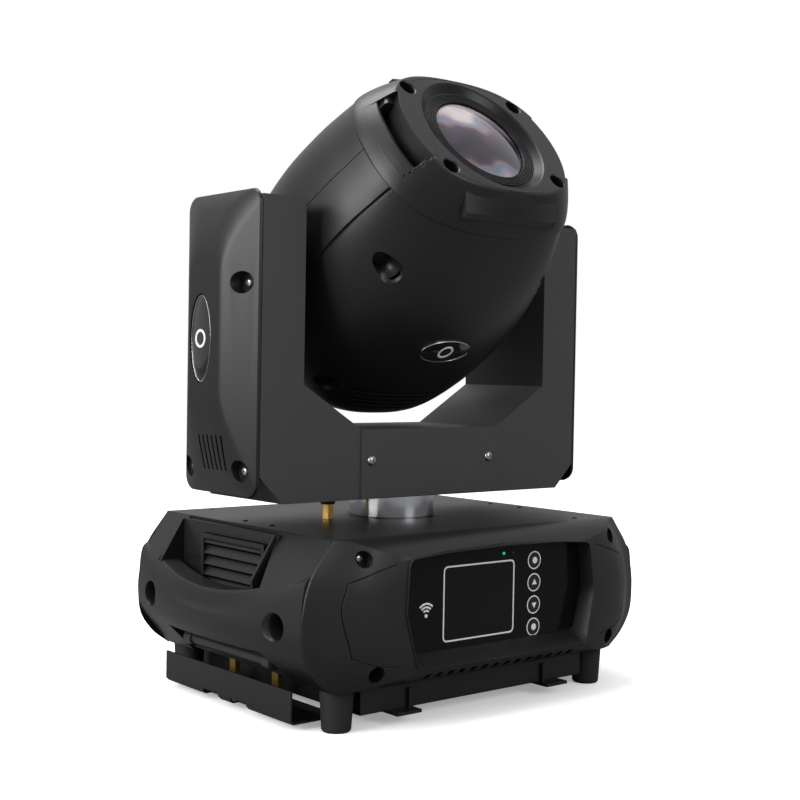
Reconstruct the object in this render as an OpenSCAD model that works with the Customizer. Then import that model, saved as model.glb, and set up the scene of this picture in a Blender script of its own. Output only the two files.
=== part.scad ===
// Moving head light: a fixed base, a yoke that pans on it and a lamp head that tilts in the yoke.
// Millimetres, +Z up. X runs along the control panel, -Y is the control panel side.
// The origin is on the pan axis, in the plane that the rubber feet stand on.

/* [Base] */
// Width of the steel top plate
plate_w = 300; // [280:1:360]
// Depth of the steel top plate
plate_d = 234; // [195:1:281]
// Height of the top plate's upper face above the floor
deck_z = 143; // [120:1:172]
// Thickness of the base's sheet metal
sheet_t = 1.5; // [1:0.1:2]
// Height of the chassis floor above the ground
floor_z = 10; // [8:1:14]
// Height of the lower edge of the moulded bezels
bezel_z = 31; // [26:1:36]
// How far the moulded bezels stand in front of the top plate
bezel_depth = 27; // [24:0.5:32]
// How far the rear bezel stands behind the top plate
rear_depth = 30; // [26:0.5:35]
// How far the sides bulge past the top plate
side_bulge = 28; // [24:0.5:34]
// Wall of the moulded plastic covers
cover_t = 3; // [2.4:0.1:3.6]
// Diameter of a rubber foot at the top
foot_d = 26; // [22:0.5:31]
// Width of the window in the front bezel
window_w = 194; // [170:1:200]
// Height of the window in the front bezel
window_h = 82; // [74:1:86]

/* [Controls] */
// Width of the display's clear window
display_w = 75; // [63:1:80]
// Height of the display's clear window
display_h = 58; // [50:1:64]
// Diameter of a push button cap
button_d = 12; // [10:0.5:14.4]
// Distance between neighbouring buttons
button_pitch = 18; // [16:0.5:20]
// Travel of a push button
button_travel = 0.8; // [0.5:0.1:1.2]

/* [Pan] */
// Outside diameter of the aluminium pan spindle
spindle_d = 72; // [62:1:84]
// Gap between the top plate and the yoke
yoke_gap = 20; // [18:0.5:24]
// Outside diameter of the large pan pulley
pan_pulley_d = 104; // [96:1:116]
// Outside diameter of the motor pulleys
motor_pulley_d = 14; // [12:0.5:16]
// Side of the stepper motors
motor_w = 56; // [50:1:57]

/* [Yoke] */
// Width of one yoke arm's steel box
arm_w = 39.5; // [34:0.5:47]
// Depth of the yoke, front to back
yoke_d = 101; // [88:1:121]
// Height of the yoke's bridge
bridge_h = 56; // [50:1:64]
// How far the arms reach above the tilt axis
arm_over = 28; // [26:0.5:34]
// Thickness of the yoke's sheet metal
yoke_t = 2; // [1.5:0.1:2.5]
// How far the moulded arm covers stand out
arm_cover_w = 19.5; // [16:0.5:24]
// Width of the bridge's screwed cover plates
bridge_cover_w = 148; // [124:1:160]

/* [Head] */
// Greatest width of the head
head_w = 238; // [200:1:285]
// Room on each side between the head and an arm
head_gap = 11.5; // [9:0.5:14]
// Height of the head above its optical axis
head_up = 91.5; // [80:0.5:100]
// Height of the head below its optical axis
head_down = 109; // [98:0.5:112]
// Length of the head behind the tilt axis
head_rear = 127; // [118:0.5:134]
// Distance from the tilt axis to the front cap's seam
cap_seam = 105; // [100:0.5:110]
// Length of the front cap
cap_len = 32; // [26:0.5:38]
// Wall of the head's moulded shells
shell_t = 2.6; // [2:0.1:3.2]
// Outside diameter of the front lens
lens_d = 80; // [68:0.5:92]
// Tilt of the head from straight up, towards the front
head_tilt = 51.5; // [0:0.5:90]
// Diameter of the large tilt pulley
tilt_pulley_d = 42; // [36:0.5:44]
// Diameter of the effect wheels
wheel_d = 92; // [84:1:96]

/* [Fits] */
// Radial clearance of a shaft in its bearing
run_gap = 0.05; // [0.02:0.01:0.1]
// Gap between moulded covers at a seam
seam_gap = 0.5; // [0.3:0.1:0.8]
// Clearance round a button or switch in its hole
button_gap = 0.35; // [0.3:0.05:0.5]

/* [Hidden] */
$fn = 64;
hw = plate_w / 2;
hd = plate_d / 2;
chassis_hw = hw - 8;
chassis_hd = hd - 5;
pan_hw = hw - 31;
spindle_r = spindle_d / 2;
bridge_z = deck_z + yoke_gap;
bridge_top = bridge_z + bridge_h;
arm_in = head_w / 2 + head_gap;
arm_out = arm_in + arm_w;
head_reach = sqrt(pow(head_rear * 0.9, 2) + pow(head_down * 0.766, 2));
swing_gap = 8;
tilt_z = bridge_top + head_reach + swing_gap;
arm_top = tilt_z + arm_over;
brace_rise = 35;
corner_cut = 21;
bridge_in = bridge_cover_w / 2;
panel_y = -hd - bezel_depth + 16;
panel_t = 3;
board_t = 1.6;
board_y = panel_y + panel_t + 5;
panel_mid_z = (deck_z + bezel_z) / 2 + 1;
button_x = display_w * 0.6;
display_x = -display_w * 0.2;
rear_y = hd + rear_depth - 18;
foot_x = pan_hw + 3 + foot_d / 2;
foot_y = hd - 13;
foot_h = bezel_z;
bracket_x = 80;
bracket_hole_y = 60;
bracket_hole_r = 5.25;
bracket_t = 2.5;
rail_x = hw + 16;
rail_l = 2 * (foot_y - foot_d / 2 - 1.5);
rail_floor_z = 5;
grille_x = hw + 4;
grille_z = (deck_z + bezel_z) / 2 + 28;
motor_shaft_r = 2.5;
pan_pulley_z = deck_z - 26;
pan_belt_w = 9;
pan_motor_x = 98;
belt_t = 1.5;
belt_gap = 0.4;
tilt_plane_x = arm_in + yoke_t + 4.5;
tilt_motor_z = tilt_z - 128;
tilt_belt_w = 9;
trunnion_r = 12;
lens_r = lens_d / 2;
head_front = cap_seam + cap_len;
gobo_l = -6;
colour_l = -24;
wheel_x = 30;

// ---------- shared shapes ----------

// Places children at x, y and z, and again mirrored to the other side.
module both_sides() {
    for (s = [0, 1]) mirror([s, 0, 0]) children();
}

// A box centred on x and y whose base is at z.
module block(w, d, h, z = 0) {
    translate([-w / 2, -d / 2, z]) cube([w, d, h]);
}

// A cylinder along +Y that starts at the given point.
module rod_y(p, r, l) {
    translate(p) rotate([-90, 0, 0]) cylinder(r = r, h = l);
}

// A cylinder along +X that starts at the given point.
module rod_x(p, r, l) {
    translate(p) rotate([0, 90, 0]) cylinder(r = r, h = l);
}

// A closed solid skinned over rings that all have the same number of points. Seen from the
// last ring's side, each ring's points run clockwise.
module loft(rings) {
    n = len(rings[0]);
    m = len(rings);
    sides = [for (i = [0:m - 2]) for (j = [0:n - 1])
        for (t = [0, 1]) let (k = (j + 1) % n, a = i * n, b = a + n)
            t == 0 ? [a + j, a + k, b + k] : [a + j, b + k, b + j]];
    first = [for (j = [1:n - 2]) [0, j + 1, j]];
    last = [for (j = [1:n - 2]) let (a = (m - 1) * n) [a, a + j, a + j + 1]];
    polyhedron(points = [for (r = rings) for (p = r) p],
               faces = concat(sides, first, last), convexity = 6);
}

// A pan-head screw along +Z: the head sits on z = 0 and the shank goes down.
module screw(r, l) {
    cylinder(r = r * 2, h = r * 0.9, $fn = 24);
    translate([0, 0, -l]) cylinder(r = r, h = l + 0.01, $fn = 24);
}

// A square stepper motor along +Z: its face is at z = 0 and its shaft stands up.
module stepper(w, l, shaft) {
    difference() {
        block(w, w, l, -l);
        for (a = [45:90:315]) rotate([0, 0, a])
            translate([w / 2 * sqrt(2), 0, -l - 1]) cylinder(r = w * 0.09, h = l + 2, $fn = 24);
    }
    cylinder(r = motor_shaft_r, h = shaft);
}

// The outline of a toothed belt round two pulleys that lie along X.
module belt_outline(r1, r2, d, grow) {
    a = acos((r1 - r2) / d);
    p = [for (t = [a:(360 - 2 * a) / 40:360 - a]) [cos(t), sin(t)] * (r1 + grow)];
    q = [for (t = [-a:2 * a / 20:a]) [d, 0] + [cos(t), sin(t)] * (r2 + grow)];
    polygon(concat(p, q));
}

// A closed belt of width w round two pulleys.
module belt(r1, r2, d, w) {
    linear_extrude(w) difference() {
        belt_outline(r1, r2, d, belt_gap + belt_t);
        belt_outline(r1, r2, d, belt_gap);
    }
}

// A flanged pulley along +Z with a bore.
module pulley(r, w, bore, rim = 2) {
    difference() {
        union() {
            cylinder(r = r, h = w);
            translate([0, 0, -1.5]) cylinder(r = r + rim, h = 1.5);
            translate([0, 0, w]) cylinder(r = r + rim, h = 1.5);
        }
        translate([0, 0, -3]) cylinder(r = bore, h = w + 6);
    }
}

// ---------- base ----------

// Half outline of the base covers: how far out the side is, at shares of the height.
side_shape = [[1, 0], [20, 0.23], [27, 0.43], [28, 0.6], [25, 0.76], [13, 0.9], [-1, 1]];

// The base covers' cross-section in x and z, pulled in by the given insets.
function base_outline(in_x, in_top, in_bottom, grow = 0) = let (
    h = deck_z - bezel_z - in_top - in_bottom,
    right = [for (p = side_shape)
        [hw + p[0] / 28 * (side_bulge + grow) - in_x, deck_z - in_top - p[1] * h]],
    left = [for (i = [len(right) - 1:-1:0]) [-right[i][0], right[i][1]]])
    concat(right, left);

function ring_at_y(y, outline) = [for (p = outline) [p[0], y, p[1]]];

// The closed form of a bezel: from the seam at hd to the face at hd + depth, towards -Y.
module bezel_form(depth, inset) {
    face = hd + depth;
    loft([
        ring_at_y(-hd - seam_gap + (inset > 0 ? 1 : 0), base_outline(inset, inset, inset)),
        ring_at_y(-hd - 7, base_outline(16 + inset, 2 + inset, 1 + inset)),
        ring_at_y(-face + 6 + inset, base_outline(22 + inset, 9 + inset, 3 + inset)),
        ring_at_y(-face + inset, base_outline(30 + inset, 13 + inset, 8 + inset))
    ]);
}

// The window in a bezel: slightly arched at the top and bowed at the sides.
module window_form(w, h, z, y0, y1) {
    translate([0, y1, z]) rotate([90, 0, 0]) linear_extrude(y1 - y0)
        polygon([[-w / 2, h / 2 - 6], [-w / 2 + 5, h / 2], [0, h / 2 + 2], [w / 2 - 5, h / 2],
                 [w / 2, h / 2 - 6], [w / 2 + 3, 0], [w / 2 - 4, -h / 2 + 5],
                 [w / 2 - 9, -h / 2], [-w / 2 + 9, -h / 2], [-w / 2 + 4, -h / 2 + 5],
                 [-w / 2 - 3, 0]]);
}

pocket_hi = [hw - 17.5, deck_z - 14];
pocket_lo = [hw - 25, bezel_z + 15];
pocket_r = 6;
vent_count = 14;
vent_pitch = 11.8;

module bezel(depth, vents) {
    face = hd + depth;
    difference() {
        union() {
            difference() {
                bezel_form(depth, 0);
                bezel_form(depth, cover_t);
            }
            // bosses that reach back to the chassis wall
            intersection() {
                bezel_bosses(-face - 5, -hd - 2);
                bezel_form(depth, 0);
            }
            bezel_bosses(-hd - 3, -chassis_hd);
        }
        window_form(window_w, window_h, panel_mid_z, -face - 5, -hd);
        both_sides() for (p = [pocket_hi, pocket_lo]) {
            rod_y([p[0], -face - 5, p[1]], pocket_r, depth - 2);
            rod_y([p[0], -hd - 8, p[1]], 1.8, 20);
        }
        if (vents) for (i = [0:vent_count - 1])
            translate([(i - (vent_count - 1) / 2) * vent_pitch - 2.8, -face - 1, bezel_z + 4])
                cube([5.6, cover_t + 14, 4.6]);
    }
}

module bezel_bosses(y0, y1) {
    both_sides() for (p = [pocket_hi, pocket_lo])
        rod_y([p[0], y0, p[1]], pocket_r + 2, y1 - y0);
}

module front_bezel() {
    color("#202124") bezel(bezel_depth, true);
}

module rear_bezel() {
    color("#202124") rotate([0, 0, 180]) bezel(rear_depth, false);
}

// A shallow pan between the feet, a wider box above it, and a rim that takes the plate screws.
module base_chassis() {
    color("#2b2b2d") difference() {
        union() {
            block(2 * pan_hw, 2 * chassis_hd, bezel_z + 1 - floor_z, floor_z);
            block(2 * chassis_hw, 2 * chassis_hd, deck_z - sheet_t - bezel_z, bezel_z);
        }
        block(2 * (pan_hw - sheet_t), 2 * (chassis_hd - sheet_t), bezel_z, floor_z + sheet_t);
        block(2 * (chassis_hw - sheet_t), 2 * (chassis_hd - sheet_t),
              deck_z - bezel_z - 3 * sheet_t, bezel_z + sheet_t);
        block(2 * (chassis_hw - 18), 2 * (chassis_hd - 14), deck_z, bezel_z + 10);
        block(window_w - 16, 2 * hd, window_h - 14, panel_mid_z - window_h / 2 + 7);
        for (sx = [-1, 1]) for (sy = [-1, 1])
            translate([sx * bracket_x, sy * bracket_hole_y, floor_z - 1])
                cylinder(r = bracket_hole_r, h = sheet_t + 2);
        for (i = [-3:3]) translate([-hw, -40, grille_z + i * 6 - 1.5]) cube([plate_w, 80, 3]);
        for (p = plate_screws) translate([p[0], p[1], deck_z - 4 * sheet_t])
            cylinder(r = 1.55, h = 4 * sheet_t, $fn = 24);
        both_sides() for (p = [pocket_hi, pocket_lo])
            rod_y([p[0], -hd, p[1]], 1.8, plate_d);
    }
}

module base_top_plate() {
    color("#26272a") difference() {
        block(plate_w, plate_d, sheet_t, deck_z - sheet_t);
        translate([0, 0, deck_z - sheet_t - 1])
            cylinder(r = spindle_r + 5, h = sheet_t + 2);
        for (p = plate_screws) translate([p[0], p[1], deck_z - sheet_t - 1])
            cylinder(r = 1.75, h = sheet_t + 2, $fn = 24);
        translate([-stop_x, 0, deck_z - sheet_t - 1]) cylinder(r = 2.55, h = sheet_t + 2);
    }
}

plate_screws = [for (sx = [-1, 1]) for (p = [[hw - 14, 19], [hw - 14, -19],
    [hw - 37, hd - 8.6], [hw - 37, -hd + 8.6]]) [sx * p[0], p[1]]];

side_len = plate_d - 2 * seam_gap;
handle_top_z = bezel_z + 66;
handle_low_z = bezel_z + 27;
opening_l = 122;

module side_form(inset) {
    y = side_len / 2 + (inset > 0 ? 1 : 0);
    loft([for (t = [1:-0.25:-1])
        ring_at_y(t * y, base_outline(inset, inset, inset, 6 * (1 - t * t)))]);
}

// One side cover, on +X: an outer skin with a hand opening, and the wall behind it.
module side_cover() {
    difference() {
        intersection() {
            union() {
                difference() {
                    side_form(0);
                    side_form(cover_t);
                }
                translate([grille_x - cover_t, -side_len / 2 + 14, bezel_z + 8])
                    cube([cover_t, side_len - 28, deck_z - bezel_z - 8 - sheet_t]);
                for (s = [-1, 1]) translate([grille_x - cover_t, s * (opening_l / 2 + 8) - 1.5,
                                             bezel_z + 8])
                    cube([side_bulge, 3, deck_z - bezel_z - 14]);
            }
            side_form(0);
            translate([hw + seam_gap, -hd, 0]) cube([plate_w, plate_d, deck_z]);
        }
        // hand opening above the handle bar
        translate([grille_x, 0, 0]) hull() {
            translate([0, -opening_l / 2, deck_z - 8]) cube([60, opening_l, 1]);
            translate([0, -opening_l / 2 + 12, handle_top_z + 14]) cube([60, opening_l - 24, 1]);
            translate([0, -opening_l / 4, handle_top_z]) cube([60, opening_l / 2, 1]);
        }
        // open slot below the handle bar, for the carrying rod
        translate([grille_x, -opening_l / 2 - 12, bezel_z - 1])
            cube([60, opening_l + 24, handle_low_z - bezel_z + 1]);
        // window for the louvre grille
        translate([grille_x - 2 * cover_t, -42, grille_z - 22]) cube([3 * cover_t, 84, 44]);
        // round screw pockets
        for (s = [-1, 1]) rod_x([hw + side_bulge - 7, s * (hd - 25), bezel_z + 48], 8, 30);
    }
}

module left_side_cover() {
    color("#232427") mirror([1, 0, 0]) side_cover();
}

module right_side_cover() {
    color("#232427") side_cover();
}

module louvre_grilles() {
    color("#1e1f21") both_sides() translate([grille_x - cover_t + 0.2, 0, grille_z])
        difference() {
            translate([0, -41.5, -21.5]) cube([4, 83, 43]);
            for (i = [-2:2]) translate([-1, -37, i * 8 - 2.2]) cube([6, 74, 4.4]);
        }
}

// ---------- control panel ----------

button_names = ["menu", "up", "down", "enter"];
function button_z(i) = panel_mid_z + (1.5 - i) * button_pitch;

module control_panel() {
    color("#0d0d0f") difference() {
        translate([0, 0, panel_mid_z]) intersection() {
            translate([-window_w / 2 - 4, panel_y, -window_h / 2 - 2])
                cube([window_w + 8, panel_t, window_h + 6]);
        }
        for (i = [0:3]) rod_y([button_x, panel_y - 1, button_z(i)],
                              button_d / 2 + button_gap, panel_t + 2);
    }
}

module display_module() {
    color("#14161a") translate([display_x - display_w / 2 - 1, panel_y + panel_t,
                                panel_mid_z - display_h / 2 - 3])
        cube([display_w + 2, 3.6, display_h + 6]);
}

module control_board() {
    color("#1c5a35") {
        translate([-window_w / 2 + 12, board_y, panel_mid_z - window_h / 2 + 8])
            cube([window_w - 24, board_t, window_h - 16]);
        // tactile switches and the two indicator lamps
        for (i = [0:3]) translate([button_x - 3, board_y - 1.5, button_z(i) - 3])
            cube([6, 1.51, 6]);
        for (x = [0, 9]) rod_y([display_x + display_w * 0.34 + x, panel_y + panel_t,
                                panel_mid_z + display_h / 2 + 6], 1.5, 5.01);
    }
}

// A push button: a round cap in the panel with a collar behind it.
module push_button(i) {
    stand = 0.6;
    tip = board_y - 1.5 - button_travel - 0.3;
    z = button_z(i);
    color("#17181a") {
        rod_y([button_x, panel_y - stand, z], button_d / 2, panel_t + stand + 0.5);
        rod_y([button_x, panel_y + panel_t + 0.4, z], button_d / 2 + 1, 0.8);
        rod_y([button_x, panel_y + panel_t + 1, z], 1.6, tip - panel_y - panel_t - 1);
    }
}

module menu_button() { push_button(0); }
module up_button() { push_button(1); }
module down_button() { push_button(2); }
module enter_button() { push_button(3); }

// ---------- rear connectors ----------

socket_x = [-76, -46];
dmx_x = [-14, 20];
socket_z = [panel_mid_z + 18, panel_mid_z - 18];
switch_x = 62;
switch_w = 19;
switch_h = 28;

module connector_plate() {
    color("#2a2b2e") difference() {
        translate([-window_w / 2 - 2, rear_y, panel_mid_z - window_h / 2 - 1])
            cube([window_w + 4, 2, window_h + 4]);
        for (x = socket_x) rod_y([x, rear_y - 1, panel_mid_z], 12.2, 4);
        for (x = dmx_x) for (z = socket_z) rod_y([x, rear_y - 1, z], 12.2, 4);
        translate([switch_x - switch_w / 2, rear_y - 1, panel_mid_z - switch_h / 2])
            cube([switch_w, 4, switch_h]);
    }
}

// A round panel socket on +Y with its flange and its opening.
module panel_socket(x, z, bore, depth) {
    difference() {
        union() {
            rod_y([x, rear_y - 16, z], 12, 18);
            translate([x - 13, rear_y + 2, z - 15.5]) cube([26, 2.5, 31]);
        }
        rod_y([x, rear_y + 4.5 - depth, z], bore, depth + 1);
    }
}

module power_sockets() {
    color("#2e6fb7") for (x = socket_x) panel_socket(x, panel_mid_z, 9.5, 15);
}

module dmx_sockets() {
    color("#4a4b4e") for (x = dmx_x) for (z = socket_z) panel_socket(x, z, 8, 12);
}

// A rocker on a pin along X, seen from behind.
module power_switch() {
    color("#151515") translate([switch_x, rear_y + 1, panel_mid_z]) {
        rotate([0, 90, 0]) translate([0, 0, -switch_w / 2 + 1.2])
            cylinder(r = 5, h = switch_w - 2.4);
        translate([-switch_w / 2 + 1.2, -1, -switch_h / 2 + 2.5])
            cube([switch_w - 2.4, 4, switch_h - 5]);
    }
}

module power_supply() {
    color("#b9bcc0") translate([-pan_hw + sheet_t + 2, -10, floor_z + sheet_t])
        cube([66, chassis_hd - 20, 42]);
}

// ---------- pan drive ----------

bearing_r = spindle_r * 0.62;
bearing_z = pan_pulley_z - 40;

module pan_bearing() {
    color("#8d9094") translate([0, 0, bearing_z]) difference() {
        union() {
            cylinder(r = bearing_r + 9, h = 18);
            block(4 * bearing_r, 3 * bearing_r, 4, 0);
            for (s = [-1, 1]) translate([s * (2 * bearing_r - 6), 0, -bearing_z + floor_z + sheet_t])
                block(10, 2.4 * bearing_r, bearing_z - floor_z - sheet_t + 1);
        }
        translate([0, 0, -1]) cylinder(r = bearing_r + run_gap, h = 20);
    }
}

module pan_spindle() {
    color("#c9ccd0") difference() {
        union() {
            translate([0, 0, pan_pulley_z + pan_belt_w + 2])
                cylinder(r = spindle_r, h = bridge_z - pan_pulley_z - pan_belt_w - 2);
            translate([0, 0, bearing_z - 3])
                cylinder(r = bearing_r, h = pan_pulley_z + pan_belt_w + 2.01 - bearing_z + 3);
        }
        translate([0, 0, bearing_z - 4]) cylinder(r = bearing_r - 6, h = bridge_z);
    }
}

module pan_pulley() {
    color("#3a3b3d") translate([0, 0, pan_pulley_z])
        pulley(pan_pulley_d / 2, pan_belt_w, bearing_r);
}

module pan_motor() {
    color("#3c3d40") translate([pan_motor_x, 0, pan_pulley_z - 8])
        stepper(motor_w, 50, 8 + pan_belt_w);
}

module pan_motor_pulley() {
    color("#d5b25a") translate([pan_motor_x, 0, pan_pulley_z])
        pulley(motor_pulley_d / 2, pan_belt_w, motor_shaft_r + run_gap, 1.5);
}

module pan_belt() {
    color("#1a1a1a") translate([0, 0, pan_pulley_z + 0.5])
        belt(pan_pulley_d / 2, motor_pulley_d / 2, pan_motor_x, pan_belt_w - 1);
}

stop_x = 68;
stop_cap_h = 2.5;

// Hex brass posts: one pan stop on the deck, and two spacers above each side rail.
module brass_posts() {
    color("#c79a3a") {
        translate([-stop_x, 0, deck_z]) cylinder(r = 5, h = 12, $fn = 6);
        translate([-stop_x, 0, deck_z - 6]) cylinder(r = 2.5, h = 6.01);
        both_sides() for (s = [-1, 1])
            translate([rail_x - 29, s * 30, rail_floor_z + sheet_t])
                cylinder(r = 4.6, h = bezel_z - rail_floor_z - sheet_t, $fn = 6);
    }
}

module pan_stop_cap() {
    color("#101010") translate([-stop_x, 0, deck_z + 12])
        cylinder(r = 6, h = stop_cap_h);
}

// ---------- under the base ----------

module rubber_feet() {
    color("#1b1b1b") for (sx = [-1, 1]) for (sy = [-1, 1])
        translate([sx * foot_x, sy * foot_y, 0])
            rotate_extrude() polygon([[0, 0], [foot_d / 2 - 3, 0], [foot_d / 2 - 1.8, 1.5],
                [foot_d / 2, foot_h], [0, foot_h]]);
}

// Bent sheet rails that hang along both sides of the base, open at the top.
module side_rails() {
    color("#2c2d30") both_sides() difference() {
        translate([rail_x, rail_l / 2, rail_floor_z]) rotate([90, 0, 0]) linear_extrude(rail_l)
            polygon([[0, 25], [0, 2.5], [-2.5, 0], [-34, 0], [-38, 4], [-36.9, 5.06],
                     [-33.4, sheet_t], [-3.1, sheet_t], [-sheet_t, 3.1], [-sheet_t, 25]]);
        for (s = [-1, 1]) translate([rail_x - 8, s * 20 - 11, rail_floor_z - 1])
            cube([9, 22, 5.5]);
    }
}

// Steel rods with end bosses, one in the slot below each handle bar.
module carry_rods() {
    color("#34363a") both_sides() translate([hw + 11, 0, bezel_z + 15]) {
        rod_y([0, -opening_l / 2 - 1, 0], 4.5, opening_l + 2);
        for (s = [-1, 1]) rod_y([0, s * (opening_l / 2 - 5) - 5, 0], 6, 10);
    }
    color("#34363a") both_sides() for (s = [-1, 1])
        translate([grille_x, s * (opening_l / 2 - 4) - 3, bezel_z + 11])
            cube([11, 6, 8]);
}

// Flat mounting bars under the base, with lugs that turn up at both ends.
module mounting_brackets() {
    bar_l = plate_d + 12;
    color("#232325") both_sides() translate([bracket_x, 0, 0]) difference() {
        union() {
            block(24, bar_l, bracket_t, floor_z - bracket_t);
            for (s = [-1, 1]) translate([-9, s * (chassis_hd + 1.6) - 1.25, floor_z - 1])
                cube([3, 2.5, 16]);
        }
        for (s = [-1, 1]) translate([0, s * bracket_hole_y, floor_z - bracket_t - 1])
            cylinder(r = bracket_hole_r, h = bracket_t + 2);
    }
}

module base_screws() {
    color("#2a2a2c") {
        for (p = plate_screws) translate([p[0], p[1], deck_z]) {
            cylinder(r = 3.4, h = 0.7, $fn = 24);
            translate([0, 0, -8]) cylinder(r = 1.5, h = 8.01, $fn = 24);
        }
    }
    color("#a9abae") both_sides() for (s = [-1, 1]) for (p = [pocket_hi, pocket_lo])
        translate([p[0], s * (hd + 7), p[1]]) rotate([s * -90, 0, 0]) screw(1.75, 15);
}

// ---------- yoke ----------

// The yoke's outline in x and z, pulled in by a wall on every side.
function yoke_outline(t) = let (
    s = t * 0.414,
    k = t * 0.27,
    half = [[arm_out - corner_cut - s, bridge_z + t], [arm_out - t, bridge_z + corner_cut + s],
            [arm_out - t, arm_top - t], [arm_in + t, arm_top - t],
            [arm_in + t, bridge_top + brace_rise - k], [bridge_in + k, bridge_top - t]])
    concat(half, [for (i = [5:-1:0]) [-half[i][0], half[i][1]]]);

module yoke_profile(t, depth) {
    translate([0, depth / 2, 0]) rotate([90, 0, 0]) linear_extrude(depth)
        polygon(yoke_outline(t));
}

module yoke_frame() {
    color("#2b2c2f") difference() {
        yoke_profile(0, yoke_d);
        yoke_profile(yoke_t, yoke_d - 2 * yoke_t);
        // open outer side of each arm
        both_sides() translate([arm_out - yoke_t - 1, -yoke_d / 2 + 8, bridge_z + corner_cut + 6])
            cube([yoke_t + 2, yoke_d - 16, arm_top - bridge_z - corner_cut - 14]);
        // open front and back of the bridge
        block(bridge_cover_w - 16, yoke_d + 2, bridge_h - 14, bridge_z + 7);
        // hole for the spindle's cables
        translate([0, 0, bridge_z - 1]) cylinder(r = bearing_r - 6, h = yoke_t + 2);
        // seats of the tilt bearings
        both_sides() rod_x([arm_in - 1, 0, tilt_z], trunnion_r + 8, yoke_t + 2);
        for (s = [-1, 1]) for (x = [-1, 1]) rod_y([x * (bridge_in - 10), s * yoke_d / 2 - 5,
            bridge_z + bridge_h * 0.55], 1.75, 10);
    }
}

// Plates that close the bridge at the front and the back.
module bridge_covers() {
    color("#2d2e31") for (s = [-1, 1]) difference() {
        translate([-bridge_in, s * (yoke_d / 2 + 0.7) - 0.7, bridge_z + 0.5])
            cube([bridge_cover_w, 1.4, bridge_h - 1]);
        for (x = [-1, 1]) rod_y([x * (bridge_in - 10), s * yoke_d / 2 - 5,
            bridge_z + bridge_h * 0.55], 1.75, 10);
    }
}

// A rounded rectangle in y and z at a given x, for skinning the arm covers.
function cover_ring(x, half_d, z0, z1, r) = [for (c = [[1, 1], [-1, 1], [-1, -1], [1, -1]])
    for (a = [0:15:90]) let (t = a + (c[1] > 0 ? (c[0] > 0 ? 0 : 90) : (c[0] > 0 ? 270 : 180)))
        [x, c[0] * (half_d - r) + r * cos(t), (c[1] > 0 ? z1 - r : z0 + r) + r * sin(t)]];

module arm_cover_form(inset) {
    x0 = arm_out + seam_gap - (inset > 0 ? 1 : 0);
    d = yoke_d / 2 - inset;
    z0 = bridge_z + 4 + inset;
    z1 = arm_top + 5 - inset;
    w = arm_cover_w - seam_gap - inset;
    loft([
        cover_ring(arm_out + seam_gap + w, d - 26, z0 + 46, z1 - 30, 16),
        cover_ring(arm_out + seam_gap + w * 0.8, d - 19, z0 + 30, z1 - 15, 18),
        cover_ring(arm_out + seam_gap + w * 0.4, d - 7, z0 + 16, z1 - 4, 14),
        cover_ring(x0, d, z0 + 12, z1, 10)
    ]);
}

module arm_cover() {
    difference() {
        arm_cover_form(0);
        arm_cover_form(cover_t);
        // cooling slots near the foot of the cover
        for (i = [0:5]) translate([arm_out + seam_gap + 2, -30, bridge_z + 34 + i * 5])
            cube([40, 46 - i * 3, 2.2]);
        // screw pockets in the bevels
        for (s = [-1, 1]) for (z = [bridge_z + 22, arm_top - 66])
            rod_x([arm_out + 8, s * (yoke_d / 2 - 12), z], 7, 30);
    }
}

module left_arm_cover() {
    color("#232427") mirror([1, 0, 0]) arm_cover();
}

module right_arm_cover() {
    color("#232427") arm_cover();
}

// Flanged bearings in the arms' inner walls.
module tilt_bearings() {
    color("#9a9da1") both_sides() difference() {
        union() {
            rod_x([arm_in - 5, 0, tilt_z], trunnion_r + 7.95, yoke_t + 5.01);
            rod_x([arm_in + yoke_t, 0, tilt_z], trunnion_r + 11, 2);
        }
        rod_x([arm_in - 6, 0, tilt_z], trunnion_r + run_gap, 16);
    }
}

tilt_motor_x = tilt_plane_x + tilt_belt_w + 6;

// A stepper on a bent plate that stands off the arm's inner wall, with its shaft pointing in.
module tilt_motor() {
    w = motor_w + 6;
    color("#3c3d40") translate([tilt_motor_x, 0, tilt_motor_z]) rotate([0, 90, 0])
        translate([0, 0, 30]) difference() {
            block(motor_w, motor_w, 30, -30);
            for (a = [45:90:315]) rotate([0, 0, a]) translate([motor_w / 2 * sqrt(2), 0, -31])
                cylinder(r = motor_w * 0.09, h = 32, $fn = 24);
        }
    color("#3c3d40") rod_x([tilt_plane_x - 1, 0, tilt_motor_z], motor_shaft_r,
                           tilt_motor_x - tilt_plane_x + 1.01);
    color("#8d9094") difference() {
        translate([arm_in + yoke_t, -w / 2, tilt_motor_z - motor_w / 2])
            cube([tilt_motor_x - arm_in - yoke_t, w, motor_w]);
        translate([arm_in, -w / 2 + 2, tilt_motor_z - motor_w])
            cube([tilt_motor_x - arm_in - 2, w - 4, 2 * motor_w]);
        rod_x([arm_in, 0, tilt_motor_z], motor_pulley_d / 2 + 5, 40);
    }
}

module tilt_motor_pulley() {
    color("#d5b25a") translate([tilt_plane_x, 0, tilt_motor_z]) rotate([0, 90, 0])
        pulley(motor_pulley_d / 2, tilt_belt_w, motor_shaft_r + run_gap, 1.5);
}

module tilt_belt() {
    color("#1a1a1a") translate([tilt_plane_x + 0.5, 0, tilt_z]) rotate([0, 90, 0])
        belt(tilt_pulley_d / 2, motor_pulley_d / 2, tilt_z - tilt_motor_z, tilt_belt_w - 1);
}

module yoke_screws() {
    color("#b5b7ba") {
        for (s = [-1, 1]) for (x = [-1, 1])
            translate([x * (bridge_in - 10), s * (yoke_d / 2 + 1.4), bridge_z + bridge_h * 0.55])
                rotate([s * -90, 0, 0]) screw(1.7, 8);
    }
}

// ---------- head ----------

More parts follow.
